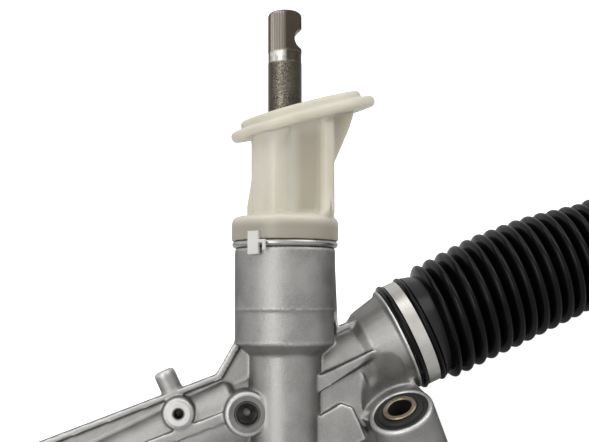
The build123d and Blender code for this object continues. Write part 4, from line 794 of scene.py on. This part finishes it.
# ======================================================================================
# Bellows: black rubber boots. A double lip each side of the steel band grips the housing,
# a plain collar follows, then folds that close in towards the cuff on the tie rod.
# ======================================================================================
END_X = 208.6
BALL_X = 300.5
FOLD_START = 225.3
FOLD_PITCH = 7.2
FOLD_COUNT = 21
COLLAR_END = 227.1
FIRST_FOLD_END = 232.5
CUFF_START = 380.5
CUFF_END = 394.5
STRETCH_FROM = 222.4
SLIDE_END = 328.5
SWING_END = 357.3
RUBBER_WALL = 1.3
CREST_RUN = (
    (0.0, 30.6), (30.0, 31.0), (55.0, 31.4), (82.0, 30.2), (90.0, 29.6), (105.0, 28.0), (119.0, 26.3),
    (200.0, 26.0))
SAG_RUN = (
    (14.0, 0.0), (24.0, 0.3), (40.0, -0.5), (55.0, -0.55), (70.0, -0.1), (82.0, 0.5), (90.0, 1.3),
    (105.0, 2.8),
    (117.0, 4.0), (130.0, 2.6), (150.0, 1.0), (172.0, 0.16), (186.0, 0.17))
DEPTH_RUN = ((0.0, 5.6), (111.0, 5.6), (118.0, 3.2), (200.0, 3.2))
SHIFT_RUN = ((13.8, 0.0), (18.5, 0.2), (21.2, 0.5), (27.5, 1.3), (42.0, 2.0), (112.0, 2.0), (168.0, 0.0))
LEAN_RUN = ((13.8, 0.0), (18.5, 0.105), (42.0, 0.12), (112.0, 0.12), (146.0, 0.06), (168.0, 0.0))

bellows_rubber = finish(
    "bellows_rubber", (0.0012, 0.0012, 0.0013), (0.0022, 0.0022, 0.0023), (0.19, 0.27), bump=0.05,
    depth=0.0002, extra=(("Specular IOR Level", 0.14),))


def paler_collars(material):
    """The plain collar past each band is coloured a paler black; its far end leans with the folds."""
    skin = material.node_tree.nodes["Principled BSDF"]
    tint = skin.inputs["Base Color"].links[0].from_socket
    for side in (1, -1):
        near = span_mask(material, on_rack_axis(side * 222.3), (side, 0.0, 0.0), 0.0, 0.0002)
        far = span_mask(material, on_rack_axis(side * (COLLAR_END + 0.2)), (-side, 0.0, 0.105), 0.0, 0.0005)
        tint = tinted(material, tint, product(material, near, far), (0.024, 0.024, 0.025))
    material.node_tree.links.new(tint, skin.inputs["Base Color"])


def on_rack_axis(x):
    """A point of the rack axis, in metres."""
    return (x / 1000.0, 0.040, 0.0502)


paler_collars(bellows_rubber)


def crest_at(x):
    """Outer radius of the folds, read off the run of (distance past the flange, radius)."""
    return np.interp(x - END_X, *zip(*CREST_RUN))


def depth_at(x):
    """Depth of the folds, off the run of (distance, depth): shallower where the rod swings."""
    return np.interp(x - END_X, *zip(*DEPTH_RUN))


def boot_radius(x):
    """Outer radius of the boot at a distance along the rack.

    One round bead each side of the band's seat, a short plain collar, then folds: each is
    valley + depth * sin(pi phase) ** 0.72, a broad round crest between sharp valleys. The
    first fold is shorter; after the last the wall closes in on the cuff.
    """
    def bead(start):
        return 27.2 + 1.9 * np.clip(np.sin(math.pi * (x - start) / 3.4), 0, 1) ** 0.5

    squeeze = FOLD_PITCH / (FIRST_FOLD_END - COLLAR_END)
    even = np.where(x < FIRST_FOLD_END, FIRST_FOLD_END - (FIRST_FOLD_END - x) * squeeze, x)
    phase = np.mod((even - FOLD_START) / FOLD_PITCH, 1.0)
    folds = crest_at(x) - depth_at(x) * (1.0 - np.abs(np.sin(math.pi * phase)) ** 0.72)
    fold_end = FOLD_START + FOLD_COUNT * FOLD_PITCH
    neck_in = np.clip((x - fold_end) / 4.0, 0, 1)
    cuff = 10.15 + 0.35 * np.cos(np.clip((x - CUFF_START) / 14.0, 0, 1) * 2 * math.pi)
    closing = cuff + (crest_at(x) - depth_at(x) - cuff) * (1 - neck_in) ** 1.5
    return np.select(
        [x < 212.0, x < 218.8, x < 222.2, x < COLLAR_END, x < fold_end],
        [bead(END_X), np.full_like(x, 27.2), bead(218.8), 28.3 - 0.42 * (x - 222.2), folds], closing)


def boot_lean(x, height):
    """Shift along the rack that leans the folds: shift(x) + lean(x) * height over the middle."""
    return np.interp(x - END_X, *zip(*SHIFT_RUN)) + np.interp(x - END_X, *zip(*LEAN_RUN)) * height


def boot_sag(x):
    """How far the boot's middle hangs below the rack's line, off the run of (distance, sag)."""
    return np.interp(x - END_X, *zip(*SAG_RUN))


def rubber_tube(start, end, side, steps=112):
    """Closed wall of the boot from start to end along the rack, its middle lowered by the sag.

    The outline runs along the outside and back a wall's thickness inside it; turned about the rack axis
    it gives the grid, and the sag and lean are added in the part's own height.
    """
    steps_of_lip = np.clip((211.95, 212.05, 218.75, 218.85, 222.15, 222.25), start, end)
    x = np.unique(np.round(np.concatenate((np.arange(start, end, 0.6), (start, end), steps_of_lip)), 3))
    outer = boot_radius(x)
    inner_floor = np.where(x < END_X + 13.0, 25.05, 0.0)
    inner = np.maximum(np.minimum(outer - RUBBER_WALL, 40.0), inner_floor)
    inner = np.where(x > CUFF_START - 0.5, 7.62, np.maximum(inner, 7.62))
    run = np.concatenate((x, x[::-1]))
    outline = np.stack((np.concatenate((outer, inner[::-1])), run), -1)
    grid = spun(outline, steps)
    points = part_place(np.stack((side * grid[..., 2], grid[..., 1], -side * grid[..., 0]), -1))
    middle = part_place(np.stack((side * grid[..., 2], 0 * grid[..., 1], 0 * grid[..., 0]), -1))
    height = (points[..., 2] - middle[..., 2]) * 1000.0
    points[..., 0] += side * boot_lean(grid[..., 2], height) / 1000.0
    points[..., 2] -= boot_sag(run)[:, None] / 1000.0
    return points


for side, label in ((1, "right"), (-1, "left")):
    spans = (
        ("slide", END_X + 0.05, SLIDE_END, "housing", "rack", STRETCH_FROM, SLIDE_END),
        ("swing", SLIDE_END, SWING_END, "rack", f"{label}_ball_seat", SLIDE_END, SWING_END),
        ("sweep", SWING_END, CUFF_END, f"{label}_ball_seat", f"{label}_tie_rod", SWING_END, CUFF_START))
    for part, start, end, near, far, bend_from, bend_to in spans:
        tube = skin_of(f"{label}_boot_{part}", rubber_tube(start, end, side), bellows_rubber, sharp=70.0)
        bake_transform(tube)
        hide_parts(f"{label}_bellows")

# ======================================================================================
# Tie rods: forged and phosphated. The outer end of each carries a rolled thread, M14 by
# 1.5, on which the jam nut sits; ball, neck and shank keep the solid's shape.
# ======================================================================================
ROD_LENGTH = 268.0
THREAD_START = 205.6
THREAD_PITCH = 1.5
DROOP = math.radians(0.1)

black_phosphate = finish(
    "black_phosphate", (0.045, 0.045, 0.046), (0.10, 0.10, 0.10), (0.42, 0.58), metal=1.0, bump=0.3,
    depth=0.0003, edge=(0.25, 0.25, 0.25))


def rod_place(points, side):
    """Millimetres about a rod's axis, with z out from its ball's centre, to metres.

    The rod's axis drops by the droop: d = (side cos, 0, -sin); across it lie y and d x y.
    """
    a, b, run = points[..., 0], points[..., 1], points[..., 2]
    out = np.array((side * math.cos(DROOP), 0.0, -math.sin(DROOP)))
    over = np.cross(out, (0.0, 1.0, 0.0))
    centre = np.array((side * BALL_X, 40.0, 50.2))
    place = run[..., None] * out + b[..., None] * np.array((0.0, 1.0, 0.0)) + a[..., None] * over
    return (centre + place) / 1000.0


def thread_grid(steps=40):
    """Right-handed thread: radius = 7 - 0.9 |2 frac(z / pitch - a / 2 pi) - 1|, chamfered at the end."""
    run = np.arange(THREAD_START, ROD_LENGTH + 1e-6, THREAD_PITCH / 8.0)
    a = np.arange(steps) * (2 * math.pi / steps)
    phase = np.mod(run[:, None] / THREAD_PITCH - a[None, :] / (2 * math.pi), 1.0)
    depth = 0.9 * np.clip((run - THREAD_START) / 1.0, 0, 1)[:, None]
    radius = 7.0 - depth * np.abs(2 * phase - 1)
    radius = np.minimum(radius, 5.6 + (ROD_LENGTH - run)[:, None])
    return np.stack((radius * np.cos(a), radius * np.sin(a), run[:, None] + 0 * a), -1)


for side, label in ((1, "right"), (-1, "left")):
    thread = skin_of(
        f"{label}_rod_thread", rod_place(thread_grid(), side), black_phosphate, closed_rows=False, sharp=80.0)
    cut = rod_place(np.array((0.0, 0.0, THREAD_START + 0.2)), side)
    shank = trimmed_piece(
        f"{label}_rod_shank", f"{label}_tie_rod", cut, (side * math.cos(DROOP), 0.0, -math.sin(DROOP)),
        black_phosphate)
    for piece in (thread, shank):
        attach(piece, f"{label}_tie_rod")
        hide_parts(f"{label}_tie_rod")

# ======================================================================================
# Every other piece keeps its solid and gets its finish: bearings, races, rack, yoke,
# ball joints, rods, nuts, bands and clips, in the metals and plastics they are made of.
# ======================================================================================
ground_steel = finish(
    "ground_steel", (0.50, 0.50, 0.49), (0.62, 0.62, 0.61), (0.20, 0.32), metal=1.0, bump=0.05, depth=0.0001)
bearing_steel = finish(
    "bearing_steel", (0.62, 0.62, 0.62), (0.70, 0.70, 0.70), (0.12, 0.20), metal=1.0, bump=0.03, depth=0.0001)
stainless = finish(
    "stainless_strip", (0.46, 0.445, 0.415), (0.56, 0.545, 0.51), (0.34, 0.44), metal=1.0, bump=0.10,
    depth=0.00008)
seal_rubber = finish("seal_rubber", (0.02, 0.02, 0.022), (0.04, 0.04, 0.045), (0.4, 0.55), bump=0.1)
acetal = finish("acetal", (0.78, 0.75, 0.66), (0.86, 0.84, 0.76), (0.35, 0.45), bump=0.05)
liner_bronze = finish("liner_bronze", (0.24, 0.17, 0.10), (0.34, 0.25, 0.15), (0.4, 0.5), metal=0.4, bump=0.1)
zinc_yellow = finish(
    "zinc_yellow", (0.46, 0.38, 0.22), (0.60, 0.52, 0.34), (0.26, 0.38), metal=1.0, bump=0.06, depth=0.0001)
FINISHES = {
    "cast_aluminium": cast_aluminium, "dark_steel": phosphated, "ground_steel": ground_steel,
    "bearing_steel": bearing_steel, "zinc_plate": zinc_yellow, "stainless": stainless,
    "forged_steel": black_phosphate, "bellows_rubber": bellows_rubber, "bush_rubber": bush_rubber,
    "seal_rubber": seal_rubber, "cover_nylon": natural_nylon, "clip_plastic": clip_white,
    "seat_plastic": acetal, "liner": liner_bronze, "cage_brass": zinc_yellow}
slot_of = {entry["node"]: entry["material_slot"] for entry in frame["record"]["subparts"]}
for node, solid in frame["nodes"].items():
    solid.data.materials.clear()
    solid.data.materials.append(FINISHES[slot_of[node]])
